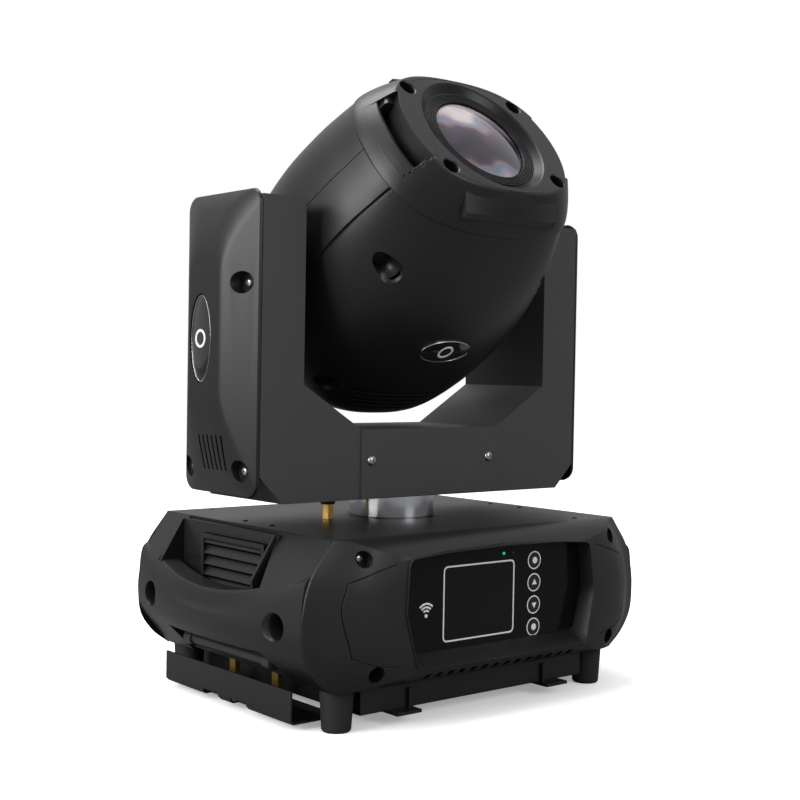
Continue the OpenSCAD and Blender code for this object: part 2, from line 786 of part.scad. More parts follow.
// Puts a shape drawn on the optical axis (+Z forward, tilt axis through 0) into the yoke.
module head_place() {
    translate([0, 0, tilt_z]) rotate([head_tilt, 0, 0]) children();
}

// How full the barrel is at a distance l from the tilt axis, with a front drop and a rear power.
function fullness(l, drop, n) = l > 0 ? 1 - drop * pow(l / cap_seam, 2)
    : pow(max(0, 1 - pow(-l / (head_rear + 3), n)), 1 / n);

function head_ring(l, inset) = [for (a = [0:10:359]) let (
    c = cos(a), s = sin(a),
    rx = head_w / 2 * fullness(l, 0.154, 2.8) - inset,
    rv = (s > 0 ? head_up * fullness(l, 0.148, 3.2) : head_down * fullness(l, 0.257, 4)) - inset)
    [rx * sign(c) * pow(abs(c), 0.8), rv * sign(s) * pow(abs(s), 0.8), l]];

module head_form(inset) {
    rear = -head_rear + inset;
    loft([for (l = [cap_seam - seam_gap + (inset > 0 ? 1 : 0), 75, 50, 25, 0, -25, -50,
                    rear + 44, rear + 24, rear + 12, rear + 5, rear]) head_ring(l, inset)]);
}

module half_shell(side) {
    difference() {
        head_form(0);
        head_form(shell_t);
        // keep one half: side is 1 for the upper shell and -1 for the lower one
        translate([-head_w, side > 0 ? -2 * head_w : 0, -head_w])
            cube([2 * head_w, 2 * head_w + (side > 0 ? seam_gap / 2 : 0), 2 * head_w]);
        // trunnion openings
        rod_x([-head_w, 0, 0], trunnion_r + 3, 2 * head_w);
        // cooling slots at the back
        for (i = [0:4]) translate([-55 + i * 4, side > 0 ? 0 : -head_w, -head_rear + 22 + i * 8])
            cube([110 - i * 8, head_w, 3]);
    }
}

module lower_head_shell() {
    color("#1f2023") head_place() half_shell(-1);
}

module upper_head_shell() {
    color("#1f2023") head_place() half_shell(1);
}

function cap_ring(l, inset) = let (t = pow((l - cap_seam) / cap_len, 1.25),
    rx = head_w / 2 * (0.846 - 0.166 * t) - inset,
    ru = head_up * (0.852 - 0.169 * t) - inset,
    rd = head_down * (0.743 - 0.175 * t) - inset)
    [for (a = [0:10:359]) let (c = cos(a), s = sin(a))
        [rx * sign(c) * pow(abs(c), 0.75), (s > 0 ? ru : rd) * sign(s) * pow(abs(s), 0.75), l]];

module cap_form() {
    loft([for (t = [1, 0.75, 0.4, 0]) cap_ring(cap_seam + t * cap_len, 0)]);
}

cap_pocket_x = 57.5;
cap_pocket_v = 42.4;
cap_arc_r = 79;
cap_step = 12;

// A faceted crown: four screw bosses, a blank pad at top and bottom, and a stepped moat at
// each side outside a round wall.
module front_cap() {
    color("#1d1e20") head_place() difference() {
        union() {
            difference() {
                cap_form();
                intersection() {
                    loft([cap_ring(head_front - shell_t, shell_t),
                          cap_ring(cap_seam + 3, shell_t)]);
                    translate([0, 0, cap_seam - 2]) cylinder(r = cap_arc_r - 3, h = cap_len);
                }
                loft([cap_ring(cap_seam + 7, shell_t), cap_ring(cap_seam, shell_t + 0.2),
                      cap_ring(cap_seam, shell_t + 0.2) + [for (i = [0:35]) [0, 0, -2]]]);
            }
            intersection() {
                cap_form();
                for (x = [-1, 1]) for (v = [-1, 1])
                    translate([x * cap_pocket_x, v * cap_pocket_v, head_front - 11])
                        cylinder(r = 9.5, h = 12);
            }
            for (m = [0, 1]) mirror([0, m, 0]) rotate([90, 0, 90]) translate([0, 0, -47.5])
                linear_extrude(95) polygon(cap_pad);
        }
        translate([0, 0, cap_seam - 2]) cylinder(r = lens_r + 18, h = cap_len + 4);
        for (x = [-1, 1]) for (v = [-1, 1]) translate([x * cap_pocket_x, v * cap_pocket_v, 0]) {
            translate([0, 0, head_front - 8]) cylinder(r = 7, h = 10);
            translate([0, 0, head_front - 20]) cylinder(r = 1.8, h = 20);
        }
        // the moats and the lower outer wall at each side
        difference() {
            union() {
                translate([-head_w, -37, head_front - cap_step]) cube([2 * head_w, 71, 20]);
                translate([-88, -35, head_front - 21]) cube([176, 67, 30]);
            }
            translate([0, 0, cap_seam - 2]) cylinder(r = cap_arc_r, h = cap_len + 4, $fn = 96);
        }
    }
}

// The pads' cross-section, in v and l.
cap_pad = [[-52, head_front - 3], [-52, head_front], [-60, head_front],
           [-76, head_front - 18], [-70, head_front - 20]];

// The stepped black ring that holds the front lens.
module lens_ring() {
    color("#121214") head_place() difference() {
        union() {
            translate([0, 0, cap_seam - 25]) cylinder(r = lens_r + 6, h = cap_len + 23);
            translate([0, 0, cap_seam + 4]) cylinder(r = lens_r + 17.5, h = cap_len - 8);
        }
        translate([0, 0, cap_seam - 26]) cylinder(r = lens_r - 2, h = cap_len + 30);
        translate([0, 0, cap_seam + 8]) cylinder(r = lens_r + run_gap, h = cap_len);
        translate([0, 0, head_front - 6]) cylinder(r1 = lens_r, r2 = lens_r + 4.5, h = 6);
    }
}

// A plano-convex glass lens, domed to the front.
module front_lens() {
    dome = 10;
    ball = (lens_r * lens_r + dome * dome) / (2 * dome);
    color("#8fa3c8") head_place() translate([0, 0, cap_seam + 8]) rotate_extrude($fn = 96)
        intersection() {
            translate([0, 4 + dome - ball]) circle(r = ball, $fn = 240);
            square([lens_r, 4 + dome]);
        }
}

chassis_x = 86;

// Two long side plates joined by four bulkheads, with posts for the front cap.
module head_chassis() {
    color("#9fa2a6") head_place() difference() {
        union() {
            for (s = [-1, 1]) translate([s * chassis_x - 1.5, -44, -70]) cube([3, 88, 150]);
            for (l = [-70, -39, 20, 77])
                translate([-chassis_x, -44, l]) cube([2 * chassis_x, 88, 3]);
            for (x = [-1, 1]) for (v = [-1, 1])
                translate([x * cap_pocket_x, v * cap_pocket_v, 77])
                    cylinder(r = 4, h = head_front - 11 - 77);
        }
        translate([0, 0, -71]) cylinder(r = 20, h = 36);
        translate([0, 0, 19]) cylinder(r = 24, h = 5);
        translate([0, 0, 76]) cylinder(r = lens_r - 2, h = 5);
        for (s = [-1, 1]) for (l = [19, 76]) translate([s * 66, 0, l]) cylinder(r = 3, h = 5);
        translate([wheel_x, 0, 19]) cylinder(r = 2.5, h = 5);
        for (x = [-1, 1]) for (v = [-1, 1])
            translate([x * cap_pocket_x, v * cap_pocket_v, head_front - 22])
                cylinder(r = 1.8, h = 20);
        rod_x([-chassis_x - 3, 0, 0], 8, 2 * chassis_x + 6);
    }
}

// Hollow trunnions that carry the head in the tilt bearings.
module tilt_trunnions() {
    color("#b3b6ba") head_place() both_sides() difference() {
        union() {
            rod_x([chassis_x + 1.5, 0, 0], 26, 4);
            rod_x([chassis_x + 5, 0, 0], trunnion_r, tilt_plane_x + tilt_belt_w + 3 - chassis_x - 5);
        }
        rod_x([chassis_x, 0, 0], 8, arm_out);
    }
}

module tilt_pulley() {
    color("#3a3b3d") head_place() translate([tilt_plane_x, 0, 0]) rotate([0, 90, 0])
        pulley(tilt_pulley_d / 2, tilt_belt_w, trunnion_r);
}

module led_engine() {
    color("#c8a24a") head_place() difference() {
        union() {
            translate([0, 0, -82]) block(90, 80, 12, 0);
            translate([0, 0, -70]) cylinder(r = 19, h = 38);
        }
        translate([0, 0, -60]) cylinder(r1 = 9, r2 = 16, h = 29);
    }
}

sink_l = 24;

module heat_sink() {
    color("#aeb1b5") head_place() translate([0, 0, -82 - sink_l]) difference() {
        block(104, 84, sink_l, 0);
        for (i = [-7:7]) translate([i * 6.6 - 2.2, -50, -1]) cube([4.4, 100, sink_l - 4]);
    }
}

fan_r = 38;
fan_l = -82 - sink_l - 13;

// The turning part of the axial fan: a hub with seven blades.
module fan_rotor() {
    color("#18181a") head_place() translate([0, 0, fan_l]) {
        difference() {
            cylinder(r = 13, h = 10);
            translate([0, 0, -1]) cylinder(r = 1.5 + run_gap, h = 12);
        }
        for (a = [0:360 / 7:359]) rotate([0, 0, a]) translate([12, 0, 5]) rotate([35, 0, 0])
            translate([0, -6, -0.8]) cube([fan_r - 13, 12, 1.6]);
    }
}

// A disc with a ring of round openings, on a bore at its centre.
module effect_wheel(t, holes, hole_r, bore) {
    difference() {
        cylinder(r = wheel_d / 2, h = t);
        for (i = [0:holes - 1]) rotate([0, 0, i * 360 / holes])
            translate([wheel_x, 0, -1]) cylinder(r = hole_r, h = t + 2);
        translate([0, 0, -1]) cylinder(r = bore, h = t + 2);
    }
}

module colour_wheel() {
    color("#b23a48") head_place() translate([-wheel_x, 0, colour_l])
        effect_wheel(1.6, 8, 9.5, motor_shaft_r + run_gap);
}

module gobo_wheel() {
    color("#8a8d92") head_place() translate([wheel_x, 0, gobo_l])
        effect_wheel(2.4, 8, 9.5, motor_shaft_r + run_gap);
}

prism_l = 32;
prism_pivot = [-52, 30];
prism_reach = norm(prism_pivot);

// A swinging arm that carries the glass prism, shown parked outside the beam.
module prism_arm() {
    color("#7f97b8") head_place() translate([prism_pivot[0], prism_pivot[1], prism_l])
        rotate([0, 0, 20]) {
            difference() {
                union() {
                    cylinder(r = 7, h = 4);
                    translate([0, -5, 0]) cube([prism_reach - 14, 10, 4]);
                    translate([prism_reach, 0, 0]) cylinder(r = 19, h = 4);
                }
                translate([0, 0, -1]) cylinder(r = motor_shaft_r + run_gap, h = 6);
                translate([prism_reach, 0, -1]) cylinder(r = 15, h = 6);
            }
            translate([prism_reach, 0, 0.5]) cylinder(r = 15.01, h = 6, $fn = 12);
        }
}

rod_x_pos = 66;
focus_l = 44;

// The focusing lens in its carriage, which slides on two rods.
module focus_carriage() {
    color("#5b5e63") head_place() translate([0, 0, focus_l]) {
        difference() {
            union() {
                cylinder(r = 34, h = 8);
                translate([-rod_x_pos - 6, -6, 0]) cube([2 * rod_x_pos + 12, 12, 8]);
            }
            translate([0, 0, -1]) cylinder(r = 29, h = 10);
            for (s = [-1, 1]) translate([s * rod_x_pos, 0, -1])
                cylinder(r = 3 + run_gap, h = 10);
        }
        translate([0, 0, 2]) cylinder(r = 29.01, h = 4);
    }
}

module guide_rods() {
    color("#d0d3d6") head_place() for (s = [-1, 1])
        translate([s * rod_x_pos, 0, 20]) cylinder(r = 3, h = 60);
}

// Small steppers that turn the wheels and swing the prism, and the fan's spider and pin.
module effect_motors() {
    color("#33353a") head_place() {
        translate([-wheel_x, 0, -36]) {
            cylinder(r = 9, h = 7);
            cylinder(r = motor_shaft_r, h = 15);
        }
        translate([wheel_x, 0, gobo_l - 2]) {
            translate([0, 0, 20]) cylinder(r = 9, h = 8);
            cylinder(r = motor_shaft_r, h = 20.01);
        }
        translate([prism_pivot[0], prism_pivot[1], 23]) {
            cylinder(r = 6, h = 6);
            cylinder(r = motor_shaft_r, h = 14);
        }
        translate([0, 0, fan_l - 4]) {
            block(10, 85, 2.5, 0);
            cylinder(r = 1.5, h = 15);
            for (s = [-1, 1]) translate([3.3, s * 40.5, 0]) cylinder(r = 2, h = 17);
        }
    }
}

module head_screws() {
    color("#1a1a1c") head_place() for (x = [-1, 1]) for (v = [-1, 1])
        translate([x * cap_pocket_x, v * cap_pocket_v, head_front - 8]) screw(1.75, 12);
}

base_chassis();
base_top_plate();
front_bezel();
rear_bezel();
left_side_cover();
right_side_cover();
louvre_grilles();
control_panel();
display_module();
control_board();
menu_button();
up_button();
down_button();
enter_button();
connector_plate();
power_sockets();
dmx_sockets();
power_switch();
power_supply();
pan_bearing();
pan_motor();
pan_motor_pulley();
pan_belt();
rubber_feet();
side_rails();
brass_posts();
carry_rods();
mounting_brackets();
pan_stop_cap();
base_screws();
yoke_frame();
bridge_covers();
left_arm_cover();
right_arm_cover();
pan_spindle();
pan_pulley();
tilt_motor();
tilt_motor_pulley();
tilt_belt();
tilt_bearings();
yoke_screws();
lower_head_shell();
upper_head_shell();
front_cap();
lens_ring();
front_lens();
head_chassis();
tilt_trunnions();
tilt_pulley();
led_engine();
heat_sink();
fan_rotor();
colour_wheel();
gobo_wheel();
prism_arm();
focus_carriage();
guide_rods();
effect_motors();
head_screws();
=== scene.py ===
"""A compact moving head stage light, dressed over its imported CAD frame.

Lengths are in millimetres in the frame of the part: +Z up, X along the control panel and -Y
out of it. plant() turns them into metres when it makes a mesh.
"""
import math

import bmesh
import bpy
from mathutils import Matrix, Vector
from mathutils.bvhtree import BVHTree


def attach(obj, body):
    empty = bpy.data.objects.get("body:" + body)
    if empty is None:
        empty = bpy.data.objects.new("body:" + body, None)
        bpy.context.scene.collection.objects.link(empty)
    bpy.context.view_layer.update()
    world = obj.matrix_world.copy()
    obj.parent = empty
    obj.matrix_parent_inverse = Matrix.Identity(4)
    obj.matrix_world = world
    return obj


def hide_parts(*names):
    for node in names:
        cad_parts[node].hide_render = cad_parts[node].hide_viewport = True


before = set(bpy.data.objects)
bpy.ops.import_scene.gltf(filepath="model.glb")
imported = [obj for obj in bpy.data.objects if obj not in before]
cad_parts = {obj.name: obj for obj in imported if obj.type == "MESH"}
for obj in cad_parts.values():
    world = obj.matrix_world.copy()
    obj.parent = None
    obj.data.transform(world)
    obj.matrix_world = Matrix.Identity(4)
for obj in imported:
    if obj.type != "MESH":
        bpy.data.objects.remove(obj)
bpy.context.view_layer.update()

# ---------- camera ----------
# A long lens at about the height of the lamp's middle, ahead of the panel and to its left.
yaw, pitch, roll = (math.radians(a) for a in (-39.9, -1.3, 1.0))
ahead = Vector((-math.sin(yaw) * math.cos(pitch), math.cos(yaw) * math.cos(pitch), math.sin(pitch)))
right = Vector((math.cos(yaw), math.sin(yaw), 0))
above = right.cross(ahead)
across = math.cos(roll) * right + math.sin(roll) * above
upward = -math.sin(roll) * right + math.cos(roll) * above
camera_data = bpy.data.cameras.new("camera")
camera_data.lens = 60.59
camera_data.sensor_width = 36
camera = bpy.data.objects.new("camera", camera_data)
turn = Matrix((across, upward, -ahead)).transposed().to_4x4()
camera.matrix_world = Matrix.Translation((-0.7351, -0.8885, 0.2669)) @ turn
bpy.context.scene.collection.objects.link(camera)
bpy.context.scene.camera = camera

# ---------- studio ----------
# A pale floor that runs out to a pale surround, lit by large soft boxes. The floor and the
# surround throw less light up than they show, so the black mouldings keep their depth.
floor_mesh = bpy.data.meshes.new("studio_floor")
floor_mesh.from_pydata([(-9, -9, 0), (9, -9, 0), (9, 9, 0), (-9, 9, 0)], [], [(0, 1, 2, 3)])
floor = bpy.data.objects.new("studio_floor", floor_mesh)
bpy.context.scene.collection.objects.link(floor)
floor_paint = bpy.data.materials.new("studio_floor")
floor_paint.use_nodes = True
floor_shader = floor_paint.node_tree.nodes["Principled BSDF"]
floor_path = floor_paint.node_tree.nodes.new("ShaderNodeLightPath")
floor_tone = floor_paint.node_tree.nodes.new("ShaderNodeMix")
floor_tone.data_type = "RGBA"
floor_tone.inputs["A"].default_value = (0.22, 0.22, 0.22, 1)
floor_tone.inputs["B"].default_value = (0.95, 0.95, 0.95, 1)
floor_links = floor_paint.node_tree.links
floor_links.new(floor_path.outputs["Is Camera Ray"], floor_tone.inputs["Factor"])
floor_links.new(floor_tone.outputs["Result"], floor_shader.inputs["Base Color"])
floor_shader.inputs["Roughness"].default_value = 0.9
floor_shader.inputs["Emission Color"].default_value = (0.3, 0.3, 0.3, 1)
floor_links.new(floor_path.outputs["Is Camera Ray"], floor_shader.inputs["Emission Strength"])
floor_shader.inputs["Specular IOR Level"].default_value = 0.1
floor_mesh.materials.append(floor_paint)

world = bpy.data.worlds.new("studio")
bpy.context.scene.world = world
world.use_nodes = True
sky = world.node_tree
sky.nodes["Background"].inputs["Color"].default_value = (1, 1, 1, 1)
seen = sky.nodes.new("ShaderNodeLightPath")
way_up = sky.nodes.new("ShaderNodeTexCoord")
split = sky.nodes.new("ShaderNodeSeparateXYZ")
fade = sky.nodes.new("ShaderNodeMapRange")
for label, value in (("From Min", -0.5), ("From Max", 0.9), ("To Min", 0.16), ("To Max", 0.9)):
    fade.inputs[label].default_value = value
glow = sky.nodes.new("ShaderNodeMix")
glow.inputs["B"].default_value = 1.0
sky.links.new(way_up.outputs["Generated"], split.inputs["Vector"])
sky.links.new(split.outputs["Z"], fade.inputs["Value"])
sky.links.new(seen.outputs["Is Camera Ray"], glow.inputs["Factor"])
sky.links.new(fade.outputs["Result"], glow.inputs["A"])
sky.links.new(glow.outputs["Result"], sky.nodes["Background"].inputs["Strength"])
bpy.context.scene.view_settings.view_transform = "Standard"


def soft_box(name, place, aim, size, power):
    lamp = bpy.data.lights.new(name, "AREA")
    lamp.shape = "SQUARE"
    lamp.size = size
    lamp.energy = power
    box = bpy.data.objects.new(name, lamp)
    box.location = place
    box.rotation_euler = (Vector(aim) - Vector(place)).to_track_quat("-Z", "Y").to_euler()
    bpy.context.scene.collection.objects.link(box)


soft_box("left_box", (-1.9, 0.1, 0.9), (0, 0, 0.25), 1.1, 40)
soft_box("top_box", (-0.3, 0.5, 2.1), (0, 0, 0.3), 1.4, 42)
soft_box("front_box", (0.5, -2.4, 1.3), (0, 0, 0.2), 1.0, 18)

# ---------- sheet steel ----------
# The base box, its top plate, the side rails, the mounting bars and the yoke are folded steel
# with a black powder coat, which has a fine orange-peel surface.


def finish_of(name, colour, rough, grain=0.0, depth=0.0, metal=0.0, coat=0.0, edge=0.5, patch=9.0,
              spread=0.18, shine=0.32):
    """A finish with a fine grain, slow changes of tone and gloss, and edges broken by `edge`."""
    made = bpy.data.materials.new(name)
    made.use_nodes = True
    nodes, links = made.node_tree.nodes, made.node_tree.links
    shader = nodes["Principled BSDF"]
    shader.inputs["Metallic"].default_value = metal
    shader.inputs["Coat Weight"].default_value = coat
    shader.inputs["Specular IOR Level"].default_value = shine
    where = nodes.new("ShaderNodeTexCoord")
    slow = nodes.new("ShaderNodeTexNoise")
    slow.inputs["Scale"].default_value = patch
    slow.inputs["Detail"].default_value = 4
    links.new(where.outputs["Object"], slow.inputs["Vector"])
    tone = nodes.new("ShaderNodeMix")
    tone.data_type = "RGBA"
    tone.inputs["A"].default_value = (*[c * (1 - spread) for c in colour], 1)
    tone.inputs["B"].default_value = (*[min(1, c * (1 + spread)) for c in colour], 1)
    links.new(slow.outputs["Fac"], tone.inputs["Factor"])
    links.new(tone.outputs["Result"], shader.inputs["Base Color"])
    gloss = nodes.new("ShaderNodeMapRange")
    gloss.inputs["To Min"].default_value = rough * 0.88
    gloss.inputs["To Max"].default_value = min(1, rough * 1.12)
    links.new(slow.outputs["Fac"], gloss.inputs["Value"])
    links.new(gloss.outputs["Result"], shader.inputs["Roughness"])
    rounded = nodes.new("ShaderNodeBevel")
    rounded.samples = 4
    rounded.inputs["Radius"].default_value = edge * 0.001
    normal = rounded.outputs["Normal"]
    if grain:
        fine = nodes.new("ShaderNodeTexNoise")
        fine.inputs["Scale"].default_value = grain
        fine.inputs["Detail"].default_value = 2
        links.new(where.outputs["Object"], fine.inputs["Vector"])
        bump = nodes.new("ShaderNodeBump")
        bump.inputs["Strength"].default_value = 1.0
        bump.inputs["Distance"].default_value = depth * 0.001
        links.new(fine.outputs["Fac"], bump.inputs["Height"])
        links.new(normal, bump.inputs["Normal"])
        normal = bump.outputs["Normal"]
    links.new(normal, shader.inputs["Normal"])
    return made


def dress(finish, *names):
    """Gives the frame's own nodes a finish."""
    for name in names:
        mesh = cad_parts[name].data
        mesh.materials.clear()
        mesh.materials.append(finish)


powder_coat = finish_of("powder_coat", (0.0085, 0.0088, 0.0098), 0.40, grain=900, depth=0.05)
yoke_coat = finish_of("yoke_coat", (0.040, 0.041, 0.0415), 0.5, grain=900, depth=0.05, spread=0.1)
dress(powder_coat, "base_chassis", "base_top_plate", "side_rails", "mounting_brackets",
      "connector_plate")
dress(yoke_coat, "yoke_frame", "bridge_covers")

# ---------- bezels ----------
# Moulded covers over the front and the back of the base. Each bellies out at the sides, has a
# window with a thin lip, and is held by four screws in deep round pockets. Its skin is lofted
# and carved, as the other mouldings are.


def plant(name, points, faces, place=None):
    """A mesh object from points in millimetres, with its faces turned outwards."""
    mesh = bpy.data.meshes.new(name)
    mesh.from_pydata([Vector(p) * 0.001 for p in points], [], faces)
    tidy = bmesh.new()
    tidy.from_mesh(mesh)
    bmesh.ops.remove_doubles(tidy, verts=tidy.verts, dist=1e-7)
    bmesh.ops.recalc_face_normals(tidy, faces=tidy.faces)
    tidy.to_mesh(mesh)
    tidy.free()
    if place:
        mesh.transform(place)
    made = bpy.data.objects.new(name, mesh)
    bpy.context.scene.collection.objects.link(made)
    return made


def loft(name, rings, place=None, around=False):
    """A closed skin over rings that have equal counts; around joins the last to the first."""
    count = len(rings[0])
    points = [p for ring in rings for p in ring]
    faces = []
    spans = len(rings) if around else len(rings) - 1
    for i in range(spans):
        a, b = i * count, ((i + 1) % len(rings)) * count
        for j in range(count):
            k = (j + 1) % count
            faces.append((a + j, a + k, b + k, b + j))
    if not around:
        faces.append(tuple(range(count)))
        faces.append(tuple(range(len(points) - count, len(points))))
    return plant(name, points, faces, place)


def peg(name, start, way, radius, length, count=40, tip=None, more=()):
    """A solid cylinder or cone from start along way; more adds (radius, height) steps."""
    aim = Matrix.Translation(Vector(start) * 0.001) @ Vector(way).to_track_quat("Z", "Y").to_matrix(
        ).to_4x4()
    tip = radius if tip is None else tip
    rings = [[(r * math.cos(a), r * math.sin(a), h) for a in
              (2 * math.pi * (i + 0.37) / count for i in range(count))]
             for r, h in ((radius, 0), (tip, length), *more)]
    return loft(name, rings, aim)


def prism(name, outline, axis, low, high, place=None):
    """An outline of two coordinates pushed along the third axis, from low to high."""
    order = {"x": lambda p, t: (t, p[0], p[1]), "y": lambda p, t: (p[0], t, p[1]),
             "z": lambda p, t: (p[0], p[1], t)}[axis]
    return loft(name, [[order(p, t) for p in outline] for t in (low, high)], place)


def settle(piece):
    """Applies a piece's modifiers."""
    graph = bpy.context.evaluated_depsgraph_get()
    mesh = bpy.data.meshes.new_from_object(piece.evaluated_get(graph))
    piece.modifiers.clear()
    old, piece.data = piece.data, mesh
    bpy.data.meshes.remove(old)
    mesh.name = piece.name


def carve(piece, *tools, keep="DIFFERENCE"):
    """Cuts the tools out of a piece, or joins them to it, and deletes them."""
    for tool in tools:
        step = piece.modifiers.new("cut", "BOOLEAN")
        step.operation = keep
        step.solver = "EXACT"
        step.object = tool
        settle(piece)
        bpy.data.objects.remove(tool)
    return piece


def show(piece, body, finish, nodes=(), crease=32):
    """Smooths a piece, gives it its finish, fixes it to its body, and hides the frame's nodes that
    it replaces.
    """
    mesh = piece.data
    mesh.materials.clear()
    mesh.materials.append(finish)
    for face in mesh.polygons:
        face.material_index = 0
    mesh.shade_smooth()
    mesh.set_sharp_from_angle(angle=math.radians(crease))
    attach(piece, body)
    if nodes:
        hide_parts(*nodes)
    return piece


def curve_through(knots, steps):
    """Points on a smooth curve through the knots."""
    out = []
    for i in range(len(knots) - 1):
        a, b = Vector(knots[i]), Vector(knots[i + 1])
        before = Vector(knots[i - 1]) if i else a - (b - a)
        after = Vector(knots[i + 2]) if i + 2 < len(knots) else b + (b - a)
        for s in range(steps):
            t = s / steps
            bend = 2 * before - 5 * a + 4 * b - after
            twist = 3 * a - before - 3 * b + after
            out.append(tuple(0.5 * (2 * a + (b - before) * t + bend * t ** 2 + twist * t ** 3)))
    out.append(tuple(knots[-1]))
    return out


def rounded(corners, radius, steps=6):
    """A closed outline with its corners rounded."""
    out = []
    for i, corner in enumerate(corners):
        here = Vector(corner)
        a, b = Vector(corners[i - 1]), Vector(corners[(i + 1) % len(corners)])
        reach = min(radius, (a - here).length / 2.1, (b - here).length / 2.1)
        start, end = here + (a - here).normalized() * reach, here + (b - here).normalized() * reach
        for s in range(steps + 1):
            t = s / steps
            out.append(tuple((1 - t) ** 2 * start + 2 * t * (1 - t) * here + t ** 2 * end))
    return out


def bar_row(name, count, start, step, size, tilt=(0, 0, 0), finish=None):
    """Geometry Nodes: a straight row of bars, each turned by tilt, as one plain mesh."""
    tree = bpy.data.node_groups.new(name, "GeometryNodeTree")
    tree.interface.new_socket("Geometry", in_out="OUTPUT", socket_type="NodeSocketGeometry")
    values = {"Count": ("NodeSocketInt", count), "Start": ("NodeSocketVector", start),
              "Step": ("NodeSocketVector", step), "Size": ("NodeSocketVector", size),
              "Tilt": ("NodeSocketVector", tilt), "Finish": ("NodeSocketMaterial", finish)}
    sockets = {label: tree.interface.new_socket(label, in_out="INPUT", socket_type=kind)
               for label, (kind, _) in values.items()}
    nodes, links = tree.nodes, tree.links
    given, made = nodes.new("NodeGroupInput"), nodes.new("NodeGroupOutput")
    line, bar = nodes.new("GeometryNodeMeshLine"), nodes.new("GeometryNodeMeshCube")
    spread = nodes.new("GeometryNodeInstanceOnPoints")
    real, paint = nodes.new("GeometryNodeRealizeInstances"), nodes.new("GeometryNodeSetMaterial")
    links.new(given.outputs["Count"], line.inputs["Count"])
    links.new(given.outputs["Start"], line.inputs["Start Location"])
    links.new(given.outputs["Step"], line.inputs["Offset"])
    links.new(given.outputs["Size"], bar.inputs["Size"])
    links.new(line.outputs["Mesh"], spread.inputs["Points"])
    links.new(bar.outputs["Mesh"], spread.inputs["Instance"])
    links.new(given.outputs["Tilt"], spread.inputs["Rotation"])
    links.new(spread.outputs["Instances"], real.inputs["Geometry"])
    links.new(real.outputs["Geometry"], paint.inputs["Geometry"])
    links.new(given.outputs["Finish"], paint.inputs["Material"])
    links.new(paint.outputs["Geometry"], made.inputs["Geometry"])
    row = bpy.data.objects.new(name, bpy.data.meshes.new(name))
    bpy.context.scene.collection.objects.link(row)
    grow = row.modifiers.new("row", "NODES")
    grow.node_group = tree
    for label, (kind, value) in values.items():
        if kind == "NodeSocketVector" and label != "Tilt":
            value = [c * 0.001 for c in value]  # to metres
        if value is not None:
            grow[sockets[label].identifier] = value
    settle(row)
    return row


def touch(piece, start, way):
    """Where a straight line from start along way first meets a piece, in millimetres."""
    tree = BVHTree.FromPolygons([v.co for v in piece.data.vertices],
                                [p.vertices for p in piece.data.polygons])
    return tree.ray_cast(Vector(start) * 0.001, Vector(way).normalized())[0] * 1000


moulded = finish_of("moulded_plastic", (0.0072, 0.0075, 0.0084), 0.38, grain=1500, depth=0.03,
                    edge=0.7)
PLATE_FRONT, DECK, SKIRT, BELLY = 117.0, 143.0, 31.0, 178.0
flank = curve_through([(0.845, 0), (0.955, 0.23), (0.994, 0.43), (1.0, 0.6), (0.983, 0.76),
                       (0.92, 0.9), (0.838, 1)], 5)


def belly_ring(y, half, top, bottom, lean=0.0, flat=14):
    side = [(half * w, top + (bottom - top) * s) for w, s in flank]
    bottom_edge = [(side[-1][0] * (1 - 2 * i / flat), bottom) for i in range(1, flat)]
    top_edge = [(-side[0][0] * (1 - 2 * i / flat), top) for i in range(1, flat)]
    outline = side + bottom_edge + [(-x, z) for x, z in reversed(side)] + top_edge
    return [(x, y + lean * (z - 46) * 0.044, z) for x, z in outline]


def bezel_rings(depth, inset=0.0):
    k = depth / 27.0
    steps = [(0.0, 178, 143, 31, 0), (1.2, 177.2, 142.9, 31.1, 0), (4, 168, 142.2, 31.3, 0),
             (7.5, 162, 141, 32, 0), (13, 155, 139, 34, 0.4), (18, 147.5, 136.4, 36.6, 0.7),
             (21.5, 138, 133.6, 39, 0.9), (24.2, 124, 131, 41.4, 1), (26.2, 108, 128.8, 43.6, 1),
             (26.9, 97, 127, 45.5, 1)]
    rings = []
    for d, half, top, bottom, lean in steps:
        y = -PLATE_FRONT - d * k + inset
        rings.append(belly_ring(y, half - inset, top - inset, bottom + inset, lean))
    if inset:
        rings.insert(0, belly_ring(-PLATE_FRONT + 6, BELLY - inset, DECK - inset, SKIRT + inset))
    return rings


window = rounded([(-96.6, 127.4), (-60, 130.2), (0, 131.4), (60, 130.2), (96.6, 127.4), (101, 88),
                  (90.5, 46), (0, 45.2), (-90.5, 46), (-101, 88)], 6)
pockets = [(132.6, 129.3), (124.8, 45.9)]


